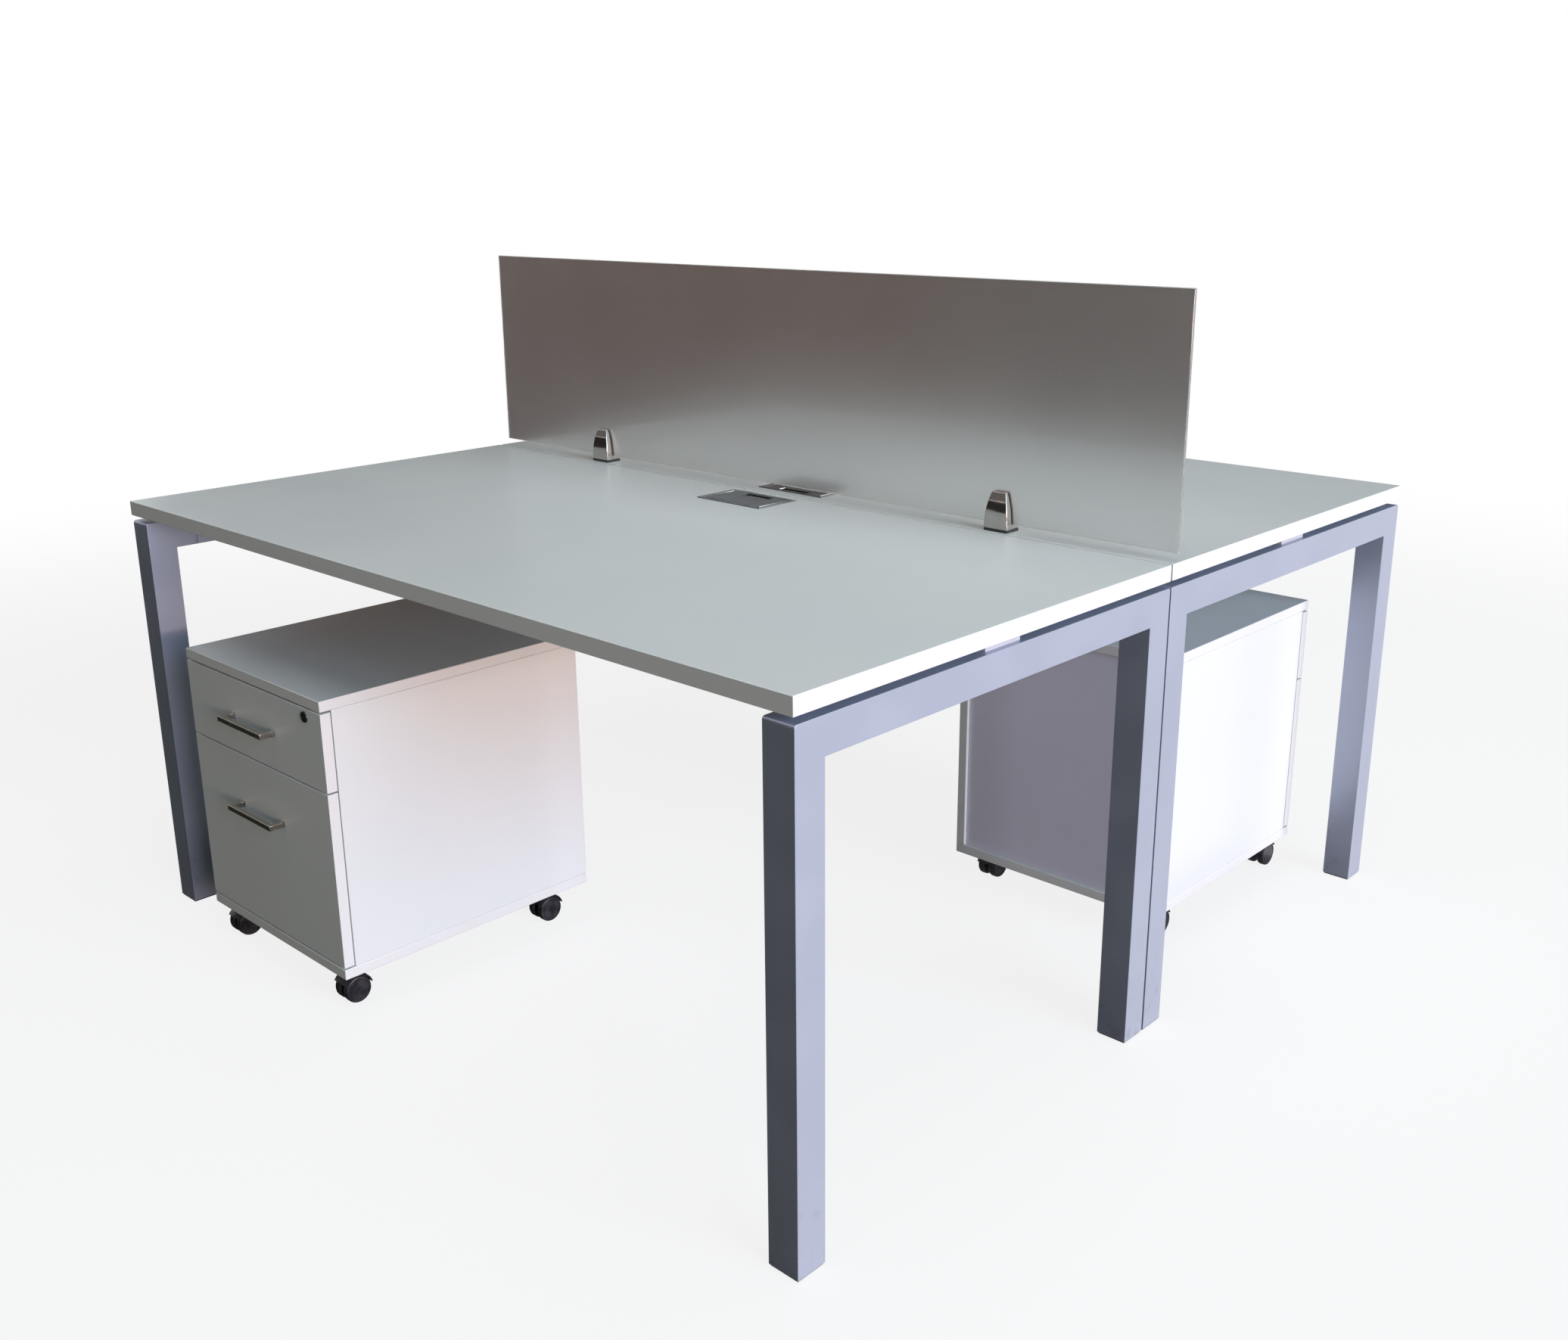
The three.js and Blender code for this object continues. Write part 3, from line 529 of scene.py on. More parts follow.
def makeWorld(values):
    world = bpy.data.worlds.new("studio")
    world.use_nodes = True
    tree = world.node_tree
    background = tree.nodes["Background"]
    seen = seenRays(tree)
    tree.links.new(mixTones(tree, seen, values["ambientTone"], (1, 1, 1)), background.inputs["Color"])
    tree.links.new(stretch(tree, seen, 0, 1, values["ambient"], 1), background.inputs["Strength"])
    scene.world = world


def makeFloor(values):
    material = bpy.data.materials.new("paleFloor")
    material.use_nodes = True
    tree = material.node_tree
    shader = tree.nodes["Principled BSDF"]
    seen = seenRays(tree)
    tree.links.new(mixTones(tree, seen, values["bounceTone"], values["floorTone"]), shader.inputs["Base Color"])
    shader.inputs["Roughness"].default_value = 0.9
    glow = addNode(tree, "ShaderNodeEmission", {"Color": (1, 1, 1, 1), "Strength": 1})
    place = tree.nodes.new("ShaderNodeTexCoord").outputs["Object"]
    away = addNode(tree, "ShaderNodeVectorMath", {0: place}, operation="LENGTH").outputs["Value"]
    fade = stretch(tree, away, values["fadeStart"], values["fadeEnd"], values["nearGlow"], 1)
    amount = mathNode(tree, "MULTIPLY", fade, seen)
    mixed = addNode(tree, "ShaderNodeMixShader", {0: amount, 1: shader.outputs[0], 2: glow.outputs[0]})
    tree.links.new(mixed.outputs[0], tree.nodes["Material Output"].inputs["Surface"])
    bm = bmesh.new()
    bmesh.ops.create_grid(bm, x_segments=2, y_segments=2, size=values["floorSize"] / 2)
    bmesh.ops.translate(bm, vec=(0, 0, -values["floorDrop"]), verts=bm.verts)
    placeStage("floor", bm, material)


def makeFlag(name, values):
    material = bpy.data.materials.new(name + "Cloth")
    material.use_nodes = True
    tree = material.node_tree
    cloth = addNode(tree, "ShaderNodeEmission", {"Color": (*values["tone"], 1), "Strength": 1})
    tree.links.new(cloth.outputs[0], tree.nodes["Material Output"].inputs["Surface"])
    flag = placeStage(name, boxShape(values["low"], values["high"]), material)
    flag.visible_camera = False
    flag.visible_diffuse = False
    flag.visible_shadow = False


def placeStage(name, bm, material):
    mesh = bpy.data.meshes.new(name)
    bm.to_mesh(mesh)
    bm.free()
    mesh.materials.append(material)
    thing = bpy.data.objects.new(name, mesh)
    scene.collection.objects.link(thing)
    return thing


makeLamps()
makeWorld(stageValues)
makeFloor(stageValues)
for flagName, flagLook in flagValues.items():
    makeFlag(flagName, flagLook)
scene.view_settings.view_transform = "Standard"
print("camera, lamps and floor set")


# Boards with a rounded edge band

boardValues = {"edge": 0.0012, "frontEdge": 0.0006, "deskEdge": 0.0009, "jointInset": 0.0008, "holeGap": 0.0055}


def makeBoard(node, body, finish=board, edge=boardValues["edge"]):
    low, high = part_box(node)
    size = high - low
    thin = min(range(3), key=lambda axis: size[axis])
    bm = roundBox(low, high, edge)
    paintFaces(bm, 1, lambda face: abs(face.normal[thin]) < 0.9)
    addPiece(node + "_board", bm, [finish, edgeBand], body, [node])


def makeDesktop(side, jointSide):
    low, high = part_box("desktop_" + side)
    (high if jointSide > 0 else low).y -= jointSide * boardValues["jointInset"]
    flapLow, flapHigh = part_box("flap_" + side + "_frame")
    gap = Vector((boardValues["holeGap"], boardValues["holeGap"], 0))
    bm = plateWithHole(low, high, flapLow + gap, flapHigh - gap)
    rim = (low.x, high.x, low.y, high.y)

    def onRim(vert):
        x, y = vert.co.x, vert.co.y
        return min(abs(x - rim[0]), abs(x - rim[1]), abs(y - rim[2]), abs(y - rim[3])) < 1e-5

    outer = [edge for edge in sharpEdges(bm) if all(onRim(vert) for vert in edge.verts)]
    paintFaces(bm, 2, lambda face: abs(face.normal.z) < 0.5 and not all(onRim(vert) for vert in face.verts))
    roundEdges(bm, outer, boardValues["deskEdge"])
    paintFaces(bm, 1, lambda face: abs(face.normal.z) < 0.9 and face.material_index != 2)
    addPiece("desktop_" + side + "_board", bm, [board, edgeBand, rawBoard], "desk", ["desktop_" + side])


# End frames of square tube, with plastic feet and a spacer under the desktop

frameValues = {
    "tube": 0.05, "railTop": 0.7255, "outerCorner": 0.0045, "innerCorner": 0.0006, "edge": 0.0042, "jointInset": 0.001,
    "footHeight": 0.003, "footInset": 0.0015, "spacerLength": 0.075, "spacerInset": 0.009,
}


def makeEndFrame(node):
    values = frameValues
    tube = values["tube"]
    low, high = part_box(node)
    (high if "front" in node else low).y += values["jointInset"] * (-1 if "front" in node else 1)
    foot, top = values["footHeight"], values["railTop"]
    outline = [
        (low.y, foot), (low.y, top), (high.y, top), (high.y, foot),
        (high.y - tube, foot), (high.y - tube, top - tube), (low.y + tube, top - tube), (low.y + tube, foot),
    ]
    bm = thickFace([(low.x, y, z) for y, z in outline], (tube, 0, 0))
    across = [edge for edge in bm.edges if abs(edge.verts[0].co.x - edge.verts[1].co.x) > tube / 2]
    outer = [edge for edge in across if abs(edge.verts[0].co.z - top) < 1e-5]
    inner = [edge for edge in across if abs(edge.verts[0].co.z - top + tube) < 1e-5]
    roundEdges(bm, outer, values["outerCorner"], 5)
    roundEdges(bm, inner, values["innerCorner"], 5)
    upper = [edge for edge in sharpEdges(bm) if max(vert.co.z for vert in edge.verts) > foot + 1e-5]
    roundEdges(bm, upper, values["edge"], 4)
    middle = (low.y + high.y) / 2
    half = values["spacerLength"] / 2
    inset = values["spacerInset"]
    spacer = roundBox((low.x + inset, middle - half, top - 0.0005), (high.x - inset, middle + half, high.z), 0.0012)
    addPiece(node + "_tube", bm, [framePaint], "desk", [node])
    addPiece(node + "_spacer", spacer, [paleSpacer], "desk")
    inset = values["footInset"]
    feet = []
    for start in (low.y, high.y - tube):
        pad = roundBox((low.x + inset, start + inset, 0), (high.x - inset, start + tube - inset, foot + 0.0008), 0.0009)
        feet.append(pad)
    addPiece(node + "_feet", combine(*feet), [blackPlastic], "desk")


# Beams with spacers, and a bolted plate on each end

beamValues = {
    "height": 0.04, "depth": 0.025, "spacerLength": 0.06, "spacerGap": 0.38, "edge": 0.002,
    "plate": 0.004, "plateMargin": 0.001, "boltReach": 0.0275, "boltDrop": 0.025, "boltRadius": 0.0065, "boltHead": 0.004,
}


def boltHead(centre, axis, radius, height):
    profile = [
        (0, height * 0.35), (radius * 0.5, height * 0.35), (radius * 0.55, height),
        (radius * 0.8, height * 0.9), (radius, height * 0.35), (radius, -height * 0.2), (0, -height * 0.2),
    ]
    return turned(profile, centre, axis, 18)


def makeBeam(node):
    values = beamValues
    low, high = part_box(node)
    top = frameValues["railTop"]
    middle = (low.y + high.y) / 2
    front, back = middle - values["depth"] / 2, middle + values["depth"] / 2
    plate = values["plate"]
    tubeLow = (low.x + plate / 2, front, top - values["height"])
    parts = [roundBox(tubeLow, (high.x - plate / 2, back, top), values["edge"])]
    bolts = []
    for side in (-1, 1):
        centre = side * (high.x - values["spacerGap"])
        half = values["spacerLength"] / 2
        parts.append(roundBox((centre - half, front, top - 0.001), (centre + half, back, high.z), 0.001))
        face = high.x if side > 0 else low.x
        inner = face - side * plate
        plateHigh = (max(face, inner), high.y, top - values["plateMargin"])
        parts.append(roundBox((min(face, inner), low.y, low.z), plateHigh, 0.0006))
        for shift in (-1, 1):
            spot = (inner, middle + shift * values["boltReach"], top - values["boltDrop"])
            bolts.append(boltHead(spot, (-side, 0, 0), values["boltRadius"], values["boltHead"]))
    addPiece(node + "_tube", combine(*parts), [framePaint], "desk", [node])
    addPiece(node + "_bolts", combine(*bolts), [zinc], "desk")


# Screen and its clamps

clampValues = {
    "height": 0.063, "base": 0.0118, "width": 0.045, "topWidth": 0.0265, "widthPower": 2.3,
    "depth": 0.0131, "topDepth": 0.0058, "depthPower": 3, "slot": 0.0034, "edge": 0.0011, "bands": 9,
    "pad": 0.0042, "padInset": 0.0004, "gripInset": 0.0006, "screwRadius": 0.0032, "screwHead": 0.0016,
}


screenValues = {"edge": 0.0011}


def makeScreen():
    low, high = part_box("screen")
    bm = roundBox(low, high, screenValues["edge"], 3)
    paintFaces(bm, 1, lambda face: abs(face.normal.y) < 0.99)
    # Downward faces get the pale opaque finish, a painted light line
    paintFaces(bm, 2, lambda face: face.normal.z < -0.1)
    addPiece("screen_sheet", bm, [screenSheet, screenEdge, paintedLightLowerEdge], "desk", ["screen"])


def clampDepth(rise):
    values = clampValues
    return values["depth"] + (values["topDepth"] - values["depth"]) * rise ** values["depthPower"]


# An upright block whose sides bow in towards its top
def bowedBlock(low, high, base):
    values = clampValues
    bm = boxShape(low, high)
    upright = [edge for edge in bm.edges if abs(edge.verts[0].co.z - edge.verts[1].co.z) > 0.01]
    bmesh.ops.subdivide_edges(bm, edges=upright, cuts=values["bands"], use_grid_fill=True)
    middle = (low[0] + high[0]) / 2
    for vert in bm.verts:
        rise = (vert.co.z - base) / values["height"]
        widthNow = values["width"] + (values["topWidth"] - values["width"]) * rise ** values["widthPower"]
        vert.co.x = middle + (vert.co.x - middle) * widthNow / values["width"]
    return bm


# The same block, bowed on its outer side too and flat where it meets the screen
def clampBlock(low, high, base, face, out):
    bm = bowedBlock(low, high, base)
    for vert in bm.verts:
        if abs(vert.co.y - face) > 1e-4:
            vert.co.y = face + out * clampDepth((vert.co.z - base) / clampValues["height"])
    roundEdges(bm, sharpEdges(bm), clampValues["edge"], 4)
    # The bevels along the screen side take the black plastic, widening the black of the grip pads: painted shade in the
    # slit around the screen
    lip = clampValues["edge"] + 1e-5
    paintFaces(bm, 1, lambda f: f.normal.z < 0.5 and all(abs(v.co.y - face) < lip for v in f.verts))
    smoothShape(bm, 0.9)
    return bm


def makeClamp(side):
    values = clampValues
    low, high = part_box("clamp_" + side + "_body")
    middleX, middleY = (low.x + high.x) / 2, (low.y + high.y) / 2
    base = low.z + values["pad"]
    lip = low.z + values["base"]
    face, back = middleY - values["slot"], middleY + values["slot"]
    front = clampBlock((low.x, low.y, base), (high.x, face, high.z), low.z, face, -1)
    shoe = roundBox((low.x + 0.0008, face - 0.004, base), (high.x - 0.0008, high.y - 0.0006, lip), 0.001)
    addPiece("clamp_" + side + "_front", combine(front, shoe), [chrome, blackPlastic], "desk",
             ["clamp_" + side + "_body"])
    jawLow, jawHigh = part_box("clamp_" + side + "_jaw")
    jaw = clampBlock((low.x, back, jawLow.z), (high.x, high.y, jawHigh.z), low.z, back, 1)
    addPiece("clamp_" + side + "_rear", jaw, [chrome, blackPlastic], "desk", ["clamp_" + side + "_jaw"])
    screws = []
    for rise in (0.42, 0.68):
        spot = (middleX, back + clampDepth(rise) - 0.0003, low.z + values["height"] * rise)
        screws.append(boltHead(spot, (0, 1, 0.1), values["screwRadius"], values["screwHead"]))
    addPiece("clamp_" + side + "_screws", combine(*screws), [zinc], "desk")
    screenLow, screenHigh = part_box("screen")
    step = values["padInset"]
    pads = [roundBox((low.x + step, low.y + step, low.z), (high.x - step, high.y - step, base + 0.0004), 0.0003, 2)]
    grip = values["gripInset"]
    for near, far in ((face, screenLow.y), (screenHigh.y, back)):
        pads.append(bowedBlock((low.x + grip, near, lip + 0.001), (high.x - grip, far, high.z - 0.001), low.z))
    addPiece("clamp_" + side + "_pads", combine(*pads), [blackPlastic], "desk")


# Cable flaps: rim and throat, notched lid, bristles in the notch

flapValues = {
    "rim": 0.0085, "overlap": 0.006, "ledge": 0.003, "seat": 0.0018, "rimEdge": 0.00025, "mouthEdge": 0.0011,
    "lidPin": 0.002, "lidGap": 0.0007, "hingeGap": 0.0014, "lidDrop": 0.0002, "lidEdge": 0.001,
    "notchWidth": 0.064, "notchDepth": 0.014,
    "bristles": 42, "bristleWidth": 0.0011, "bristleLength": 0.0127,
}


def inset(low, high, amount):
    step = Vector((amount, amount, 0))
    return low + step, high - step


def isOnLines(edge, linesX, linesY):
    alongX = any(all(abs(vert.co.x - line) < 1e-5 for vert in edge.verts) for line in linesX)
    return alongX or any(all(abs(vert.co.y - line) < 1e-5 for vert in edge.verts) for line in linesY)


def makeFlap(side, hingeSide):
    values = flapValues
    node = "flap_" + side + "_frame"
    low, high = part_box(node)
    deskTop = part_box("desktop_" + side)[1].z
    opening = inset(low, high, values["rim"])
    outside = inset(low, high, values["overlap"])
    mouth = inset(*opening, values["ledge"])
    seat = deskTop - values["seat"]
    rim = plateWithHole((low.x, low.y, deskTop + 0.0002), high, *opening)
    upper = [edge for edge in sharpEdges(rim) if min(v.co.z for v in edge.verts) > high.z - 1e-5]
    outerX, outerY = (low.x, high.x), (low.y, high.y)
    outer = [edge for edge in upper if isOnLines(edge, outerX, outerY)]
    roundEdges(rim, [edge for edge in upper if edge not in outer], values["mouthEdge"], 2)
    upper = [edge for edge in sharpEdges(rim) if isOnLines(edge, outerX, outerY)]
    roundEdges(rim, [edge for edge in upper if min(v.co.z for v in edge.verts) > high.z - 1e-5], values["rimEdge"], 2)
    # Rim bevels facing along x take the bright metal as painted highlight; bevels facing along y and the upright sides
    # take the dark metal as painted shade
    paintFaces(rim, 1, lambda face: 0.1 < face.normal.z < 0.98 and abs(face.normal.x) > 0.1)
    paintFaces(rim, 2, lambda face: 0.1 < face.normal.z < 0.98 and abs(face.normal.y) > 0.1)
    paintFaces(rim, 2, lambda face: abs(face.normal.z) < 0.1)
    collar = plateWithHole((outside[0].x, outside[0].y, seat), (outside[1].x, outside[1].y, deskTop + 0.0006), *opening)
    throat = plateWithHole((outside[0].x, outside[0].y, low.z), (outside[1].x, outside[1].y, seat), *mouth)
    addPiece(node + "_rim", combine(rim, collar, throat), [flapMetal, paintedHighlightMetal, shadeMetal], "desk",
             [node])
    makeLid(side, hingeSide, opening)


def makeLid(side, hingeSide, opening):
    values = flapValues
    node = "flap_" + side + "_lid"
    body = side + "_lid"
    low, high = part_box(node)
    sideGap = values["lidPin"] + values["lidGap"]
    left, right = low.x + sideGap, high.x - sideGap
    hinge, free = (low.y, high.y) if hingeSide < 0 else (high.y, low.y)
    free += hingeSide * values["lidGap"]
    hinge -= hingeSide * values["hingeGap"]
    top = high.z - values["lidDrop"]
    middle = (left + right) / 2
    half = values["notchWidth"] / 2
    notch = free + hingeSide * values["notchDepth"]
    outline = [
        (left, hinge), (right, hinge), (right, free), (middle + half, free),
        (middle + half, notch), (middle - half, notch), (middle - half, free), (left, free),
    ]
    bm = thickFace([(x, y, low.z) for x, y in outline], (0, 0, top - low.z))
    roundEdges(bm, [edge for edge in sharpEdges(bm) if min(v.co.z for v in edge.verts) > top - 1e-5],
               values["lidEdge"], 2)
    # Lid bevels facing along x take the bright metal as painted highlight; those facing along y, hinge side included,
    # take the dark metal as painted shade
    paintFaces(bm, 1, lambda face: -0.1 < face.normal.z < 0.98 and abs(face.normal.x) > 0.1)
    paintFaces(bm, 2, lambda face: -0.1 < face.normal.z < 0.98 and abs(face.normal.y) > 0.1)
    place = jointPlace[side + "_lid_hinge"]
    pins = []
    for hand, edge in ((-1, left), (1, right)):
        profile = [(0, -0.001), (0.0008, -0.001), (0.0008, sideGap), (0, sideGap)]
        pins.append(turned(profile, (edge, place.y, place.z), (hand, 0, 0), 10))
    addPiece(node + "_plate", combine(bm, *pins), [flapMetal, paintedHighlightMetal, shadeMetal], body, [node])
    draw = random.Random(7)
    strands = []
    for index in range(values["bristles"]):
        along = middle - half + values["notchWidth"] * (index + 0.5) / values["bristles"]
        wide = values["bristleWidth"] / 2
        tip = notch - hingeSide * values["bristleLength"]
        lift = draw.uniform(-0.0004, 0.0004)
        root = low.z + 0.0006
        strand = boxShape((along - wide, min(notch, tip), root), (along + wide, max(notch, tip), root + 0.001))
        for vert in strand.verts:
            if abs(vert.co.y - tip) < 1e-6:
                vert.co.x = along + (vert.co.x - along) * 0.35 + draw.uniform(-0.0002, 0.0002)
                vert.co.z += lift
        strands.append(strand)
    addPiece(node + "_bristles", combine(*strands), [bristle], body)


# Pedestals: boards, drawers, handles, locks and castors

drawerValues = {
    "wall": 0.012, "floor": 0.006, "edge": 0.0008, "runner": 0.0127, "runnerHeight": 0.035, "runnerLift": 0.02,
    "slider": 0.0046, "rail": 0.0062, "lip": 0.0012,
}


def makeDrawerBox(side, level, out):
    values = drawerValues
    node = "pedestal_" + side + "_" + level + "_box"
    body = side + "_" + level + "_drawer"
    low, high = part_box(node)
    runner = values["runner"] - 0.0004
    boxLow, boxHigh = Vector((low.x + runner, low.y, low.z)), Vector((high.x - runner, high.y, high.z))
    bm = boxShape(boxLow, boxHigh)
    top = max(bm.faces, key=lambda face: face.calc_center_median().z)
    bmesh.ops.inset_region(bm, faces=[top], thickness=values["wall"], use_even_offset=True)
    sunk = bmesh.ops.extrude_discrete_faces(bm, faces=[top])["faces"][0]
    bmesh.ops.translate(bm, vec=(0, 0, boxLow.z + values["floor"] - boxHigh.z), verts=sunk.verts)
    roundEdges(bm, [edge for edge in sharpEdges(bm) if min(v.co.z for v in edge.verts) > high.z - 1e-5],
               values["edge"], 2)
    addPiece(node + "_tray", bm, [drawerFoil], body, [node])
    sliders, rails = [], []
    bottom = low.z + values["runnerLift"]
    top = bottom + values["runnerHeight"]
    for hand, wall, carcass in ((-1, boxLow.x, low.x), (1, boxHigh.x, high.x)):
        sliders.append(runnerStrip(wall, wall + hand * values["slider"], low.y + 0.002, high.y, bottom + 0.004, top - 0.004))
        inner = carcass - hand * values["rail"]
        rails.append(runnerStrip(carcass, inner, low.y + 0.003, high.y - 0.002, bottom, top))
    addPiece(node + "_sliders", combine(*sliders), [zinc], body)
    addPiece(node + "_rails", combine(*rails), [zinc], side + "_pedestal")


# Pressed-steel strip with a ball track along its middle
def runnerStrip(x0, x1, y0, y1, z0, z1):
    bm = roundBox((min(x0, x1), y0, z0), (max(x0, x1), y1, z1), 0.0008, 2)
    face = max(bm.faces, key=lambda f: f.calc_area() * (f.normal.x * (x1 - x0) > 0))
    bmesh.ops.inset_region(bm, faces=[face], thickness=(z1 - z0) * 0.22)
    bmesh.ops.translate(bm, vec=((x0 - x1) * 0.25, 0, 0), verts=face.verts)
    return bm


handleValues = {"bar": 0.009, "footHeight": 0.0102, "footWidth": 0.0096, "edge": 0.0009, "neck": 0.7}


def pullFace(bm, face, vec, size=1):
    pulled = bmesh.ops.extrude_discrete_faces(bm, faces=[face])["faces"][0]
    bmesh.ops.translate(bm, vec=vec, verts=pulled.verts)
    return pulled


def scaleFace(bm, face, vec):
    centre = face.calc_center_median()
    bmesh.ops.scale(bm, vec=vec, space=Matrix.Translation(-centre), verts=face.verts)


def facing(bm, direction):
    return max(bm.faces, key=lambda face: face.normal.dot(direction) * 10 + face.calc_center_median().dot(direction))


def makeHandle(side, level, out):
    values = handleValues
    node = "pedestal_" + side + "_" + level + "_handle"
    body = side + "_" + level + "_drawer"
    low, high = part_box(node)
    bar = values["bar"]
    grip, foot = (low.y, high.y) if out < 0 else (high.y, low.y)
    inner = grip - out * bar
    bm = boxShape((low.x, min(grip, inner), low.z), (low.x + bar, max(grip, inner), high.z))
    right = pullFace(bm, facing(bm, Vector((1, 0, 0))), (high.x - low.x - 2 * bar, 0, 0))
    pullFace(bm, right, (bar, 0, 0))
    back = Vector((0, -out, 0))
    ends = [face for face in bm.faces if face.normal.dot(back) > 0.9 and face.calc_area() < bar * bar * 1.5]
    reach = foot - inner
    for end in ends:
        neck = pullFace(bm, end, (0, reach * values["neck"], 0))
        base = pullFace(bm, neck, (0, reach * (1 - values["neck"]), 0))
        scaleFace(bm, base, (values["footWidth"] / bar, 1, values["footHeight"] / bar))
    bmesh.ops.recalc_face_normals(bm, faces=bm.faces)
    roundEdges(bm, sharpEdges(bm, 0.5), values["edge"], 3)
    addPiece(node + "_bow", bm, [handleMetal], body, [node])


lockValues = {
    "flange": 0.0095, "plug": 0.0062, "proud": 0.002, "slotLength": 0.0078, "slotWidth": 0.0018,
    "camWidth": 0.009, "camThickness": 0.003, "camPlay": 0.0003,
}


def makeLock(side, out):
    values = lockValues
    node = "pedestal_" + side + "_lock"
    body = side + "_lock"
    place = jointPlace[side + "_lock_turn"]
    low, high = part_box(node)
    proud = values["proud"]
    ring, plug = values["flange"], values["plug"]
    profile = [
        (0, proud * 0.55), (plug - 0.0003, proud * 0.55), (plug, proud * 0.3), (plug + 0.0005, proud * 0.3),
        (plug + 0.0007, proud * 0.85), (ring - 0.0014, proud), (ring - 0.0004, proud * 0.7), (ring, 0.0002),
        (0.008, 0.0002), (0.008, -0.0205), (0, -0.0205),
    ]
    face = Vector((place.x, place.y, place.z))
    barrel = turned(profile, face, (0, out, 0), 32)
    front = place.y + out * (proud * 0.55 + 0.0001)
    half = values["slotWidth"] / 2
    tall = values["slotLength"] / 2
    # A thin black sheet on the plug's face for the keyway: painted shade of the key hole
    slot = boxShape((place.x - half, min(front, front - out * 0.0006), place.z - tall),
                    (place.x + half, max(front, front - out * 0.0006), place.z + tall))
    camEnd = low.x if out < 0 else high.x
    back = low.y if out > 0 else high.y
    face = back + out * values["camThickness"]
    cam = roundBox((min(camEnd, place.x), min(back, face), place.z - values["camWidth"] / 2),
                   (max(camEnd, place.x), max(back, face), place.z + values["camWidth"] / 2), 0.0008, 2)
    addPiece(node + "_barrel", barrel, [lockBlack], body, [node])
    addPiece(node + "_keyway_painted_shade", slot, [bristle], body)
    addPiece(node + "_cam", cam, [zinc], body)


# Corners of the pocket that the turned cam needs above a board's underside
def camPocket(side, out, underside):
    values = lockValues
    place = jointPlace[side + "_lock_turn"]
    low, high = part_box("pedestal_" + side + "_lock")
    camEnd, back = (low.x, high.y) if out < 0 else (high.x, low.y)
    half, play = values["camWidth"] / 2, values["camPlay"]
    sweep = math.hypot(place.x - camEnd, half) + play
    reach = math.sqrt(sweep ** 2 - (underside - place.z) ** 2)
    left, right = sorted((place.x + out * reach, place.x - out * (half + play)))
    near, far = sorted((back - out * play, back + out * (values["camThickness"] + play)))
    return Vector((left, near, underside)), Vector((right, far, place.z + sweep))


def cutPocket(bm, low, high):
    for axis, place in ((0, low), (0, high), (1, low), (1, high)):
        under = [face for face in bm.faces if face.normal.z < -0.99]
        edges = {edge for face in under for edge in face.edges}
        verts = {vert for face in under for vert in face.verts}
        across = Vector((1, 0, 0)) if axis == 0 else Vector((0, 1, 0))
        bmesh.ops.bisect_plane(bm, geom=[*under, *edges, *verts], plane_co=place, plane_no=across)
    middle = Vector(((low.x + high.x) / 2, (low.y + high.y) / 2, low.z))
    under = [face for face in bm.faces if face.normal.z < -0.99]
    roof = min(under, key=lambda face: (face.calc_center_median() - middle).length)
    pullFace(bm, roof, (0, 0, high.z - low.z))


def makeTopBoard(side, out):
    node = "pedestal_" + side + "_top"
    low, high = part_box(node)
    bm = roundBox(low, high, boardValues["edge"])
    paintFaces(bm, 1, lambda face: abs(face.normal.z) < 0.9)
    cutPocket(bm, *camPocket(side, out, low.z))
    addPiece(node + "_board", bm, [board, edgeBand], side + "_pedestal", [node])


castorValues = {
    "wheelRadius": 0.023, "wheelWidth": 0.014, "inner": 0.005, "hoodGap": 0.0015, "hoodWall": 0.0025,
    "hoodStart": 15, "hoodSweep": 135, "web": 0.004, "eye": 0.009, "boss": 0.011, "collar": 0.018,
    "collarThickness": 0.003, "stem": 0.005, "stemLength": 0.012, "axle": 0.0035, "trail": 0.018,
}


def makeCastor(side, place, out):
    values = castorValues
    node = "pedestal_" + side + "_castor_" + place
    body = side + "_castor_" + place
    swivel = jointPlace[side + "_castor_" + place + "_swivel"]
    axle = jointPlace[side + "_wheels_" + place + "_spin"]
    radius = values["wheelRadius"]
    hoodInner = radius + values["hoodGap"]
    hoodOuter = hoodInner + values["hoodWall"]
    width = values["inner"] + values["wheelWidth"]
    start = math.radians(values["hoodStart"])
    section = bmesh.new()
    corners = [(-width, hoodInner), (width, hoodInner), (width, hoodOuter - 0.0008), (width - 0.0014, hoodOuter),
               (-width + 0.0014, hoodOuter), (-width, hoodOuter - 0.0008)]
    inward = -out
    ring = [
        section.verts.new((axle.x + x, axle.y + inward * r * math.cos(start), axle.z + r * math.sin(start)))
        for x, r in corners
    ]
    face = section.faces.new(ring)
    bmesh.ops.spin(
        section, geom=[face] + list(face.edges) + list(face.verts), cent=axle, axis=(inward, 0, 0),
        angle=math.radians(values["hoodSweep"]), steps=14, use_merge=False,
    )
    bmesh.ops.recalc_face_normals(section, faces=section.faces)
    smoothShape(section)
    top = axle.z + hoodInner
    web = webShape(axle, swivel, inward, top)
    under = swivel.z - 0.0002
    collarLow = under - values["collarThickness"]
    boss, collar, stem = values["boss"], values["collar"], values["stem"]
    profile = [
        (0, top), (boss, top), (boss, collarLow - 0.001), (boss + 0.002, collarLow), (collar - 0.0008, collarLow),
        (collar, collarLow + 0.0008), (collar, under), (stem, under), (stem, swivel.z + values["stemLength"] - 0.001),
        (stem - 0.001, swivel.z + values["stemLength"]), (0, swivel.z + values["stemLength"]),
    ]
    post = turned(profile, (swivel.x, swivel.y, 0), (0, 0, 1), 24)
    addPiece(node + "_housing", combine(section, web, post), [blackPlastic], body, [node])
    makeWheels(side, place, axle)


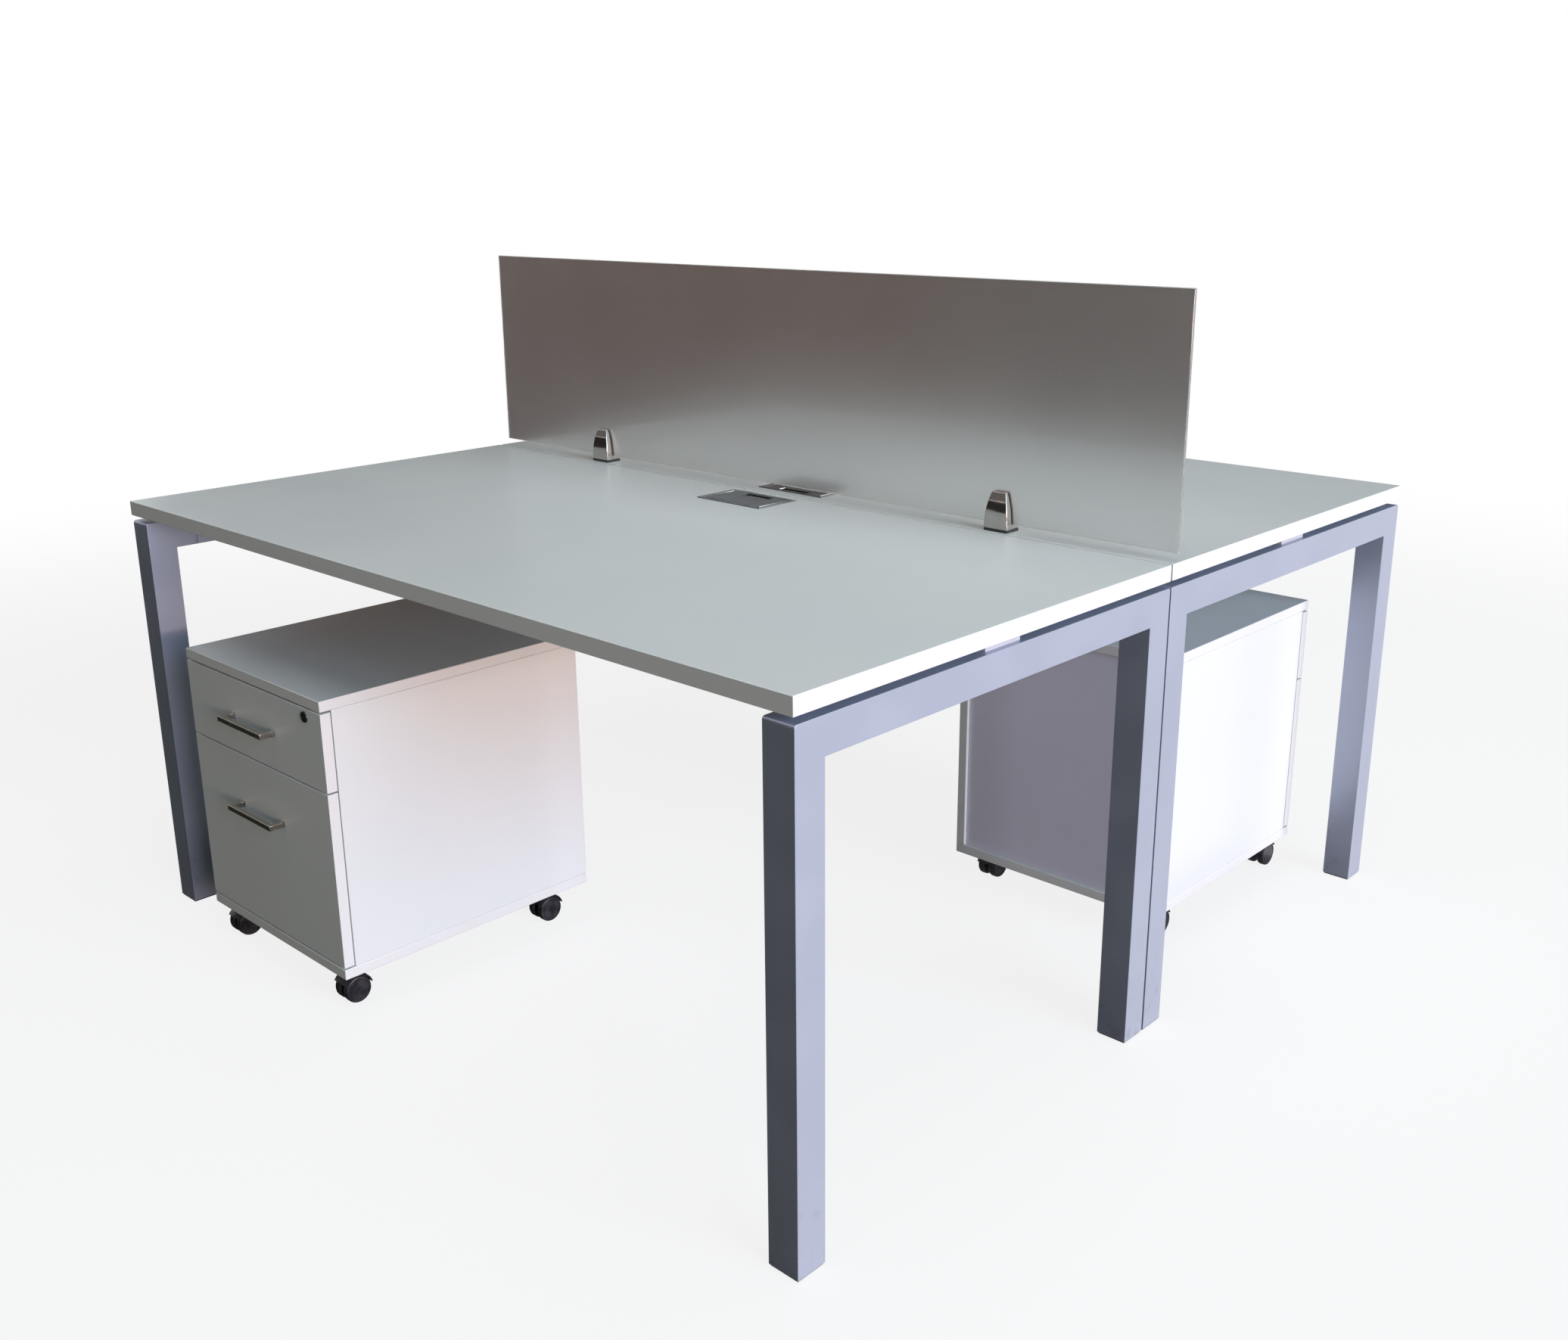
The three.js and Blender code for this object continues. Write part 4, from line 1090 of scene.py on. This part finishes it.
def webShape(axle, swivel, inward, top):
    values = castorValues
    eye = values["eye"]
    outline = []
    for step in range(9):
        angle = math.pi + math.pi * step / 8
        outline.append((axle.y + inward * eye * math.cos(angle), axle.z + eye * math.sin(angle)))
    lift = top + values["hoodWall"]
    outline += [(swivel.y + inward * 0.01, lift), (axle.y, lift)]
    half = values["web"]
    bm = thickFace([(axle.x - half, y, z) for y, z in outline], (2 * half, 0, 0))
    roundEdges(bm, [edge for edge in sharpEdges(bm, 1.2)], 0.0006, 2)
    return bm


def makeWheels(side, place, axle):
    values = castorValues
    node = "pedestal_" + side + "_wheels_" + place
    radius, inner, wide = values["wheelRadius"], values["inner"], values["wheelWidth"]
    outer = inner + wide
    shapes = []
    for hand in (-1, 1):
        profile = [
            (0, inner), (radius * 0.45, inner), (radius - 0.0028, inner), (radius - 0.0008, inner + 0.0008),
            (radius, inner + 0.0028), (radius, inner + wide * 0.44), (radius - 0.0007, inner + wide * 0.47),
            (radius - 0.0007, inner + wide * 0.53), (radius, inner + wide * 0.56), (radius, outer - 0.003),
            (radius - 0.0009, outer - 0.0009), (radius - 0.003, outer - 0.0001), (radius - 0.0042, outer - 0.0003),
            (radius - 0.0048, outer - 0.0012), (radius - 0.0056, outer - 0.0012), (radius - 0.0066, outer - 0.0002),
            (radius * 0.45, outer - 0.0001), (radius * 0.2, outer), (0, outer),
        ]
        shapes.append(turned(profile, axle, (hand, 0, 0), 40))
    reach = inner + 0.001
    rod = [(0, -reach), (values["axle"], -reach), (values["axle"], reach), (0, reach)]
    shapes.append(turned(rod, axle, (1, 0, 0), 16))
    addPiece(node + "_pair", combine(*shapes), [wheelPlastic], side + "_wheels_" + place, [node])


def makePedestal(side, out):
    body = side + "_pedestal"
    makeTopBoard(side, out)
    for panel in ("base", "side_left", "side_right"):
        makeBoard("pedestal_" + side + "_" + panel, body)
    makeBoard("pedestal_" + side + "_back", body, backBoard)
    for level in ("upper", "lower"):
        front = "pedestal_" + side + "_" + level + "_front"
        makeBoard(front, side + "_" + level + "_drawer", edge=boardValues["frontEdge"])
        makeDrawerBox(side, level, out)
        makeHandle(side, level, out)
    makeLock(side, out)
    for place in ("front_left", "front_right", "rear_left", "rear_right"):
        makeCastor(side, place, out)


for side, out in (("front", -1), ("rear", 1)):
    makeDesktop(side, -out)
    makeFlap(side, out)
    for hand in ("left", "right"):
        makeEndFrame("end_frame_" + side + "_" + hand)
    for place in ("outer", "inner"):
        makeBeam("beam_" + side + "_" + place)
    print(side, "desk made")
    makePedestal(side, out)
    print(side, "pedestal made")

makeScreen()
for side in ("left", "right"):
    makeClamp(side)
print("screen and clamps made")
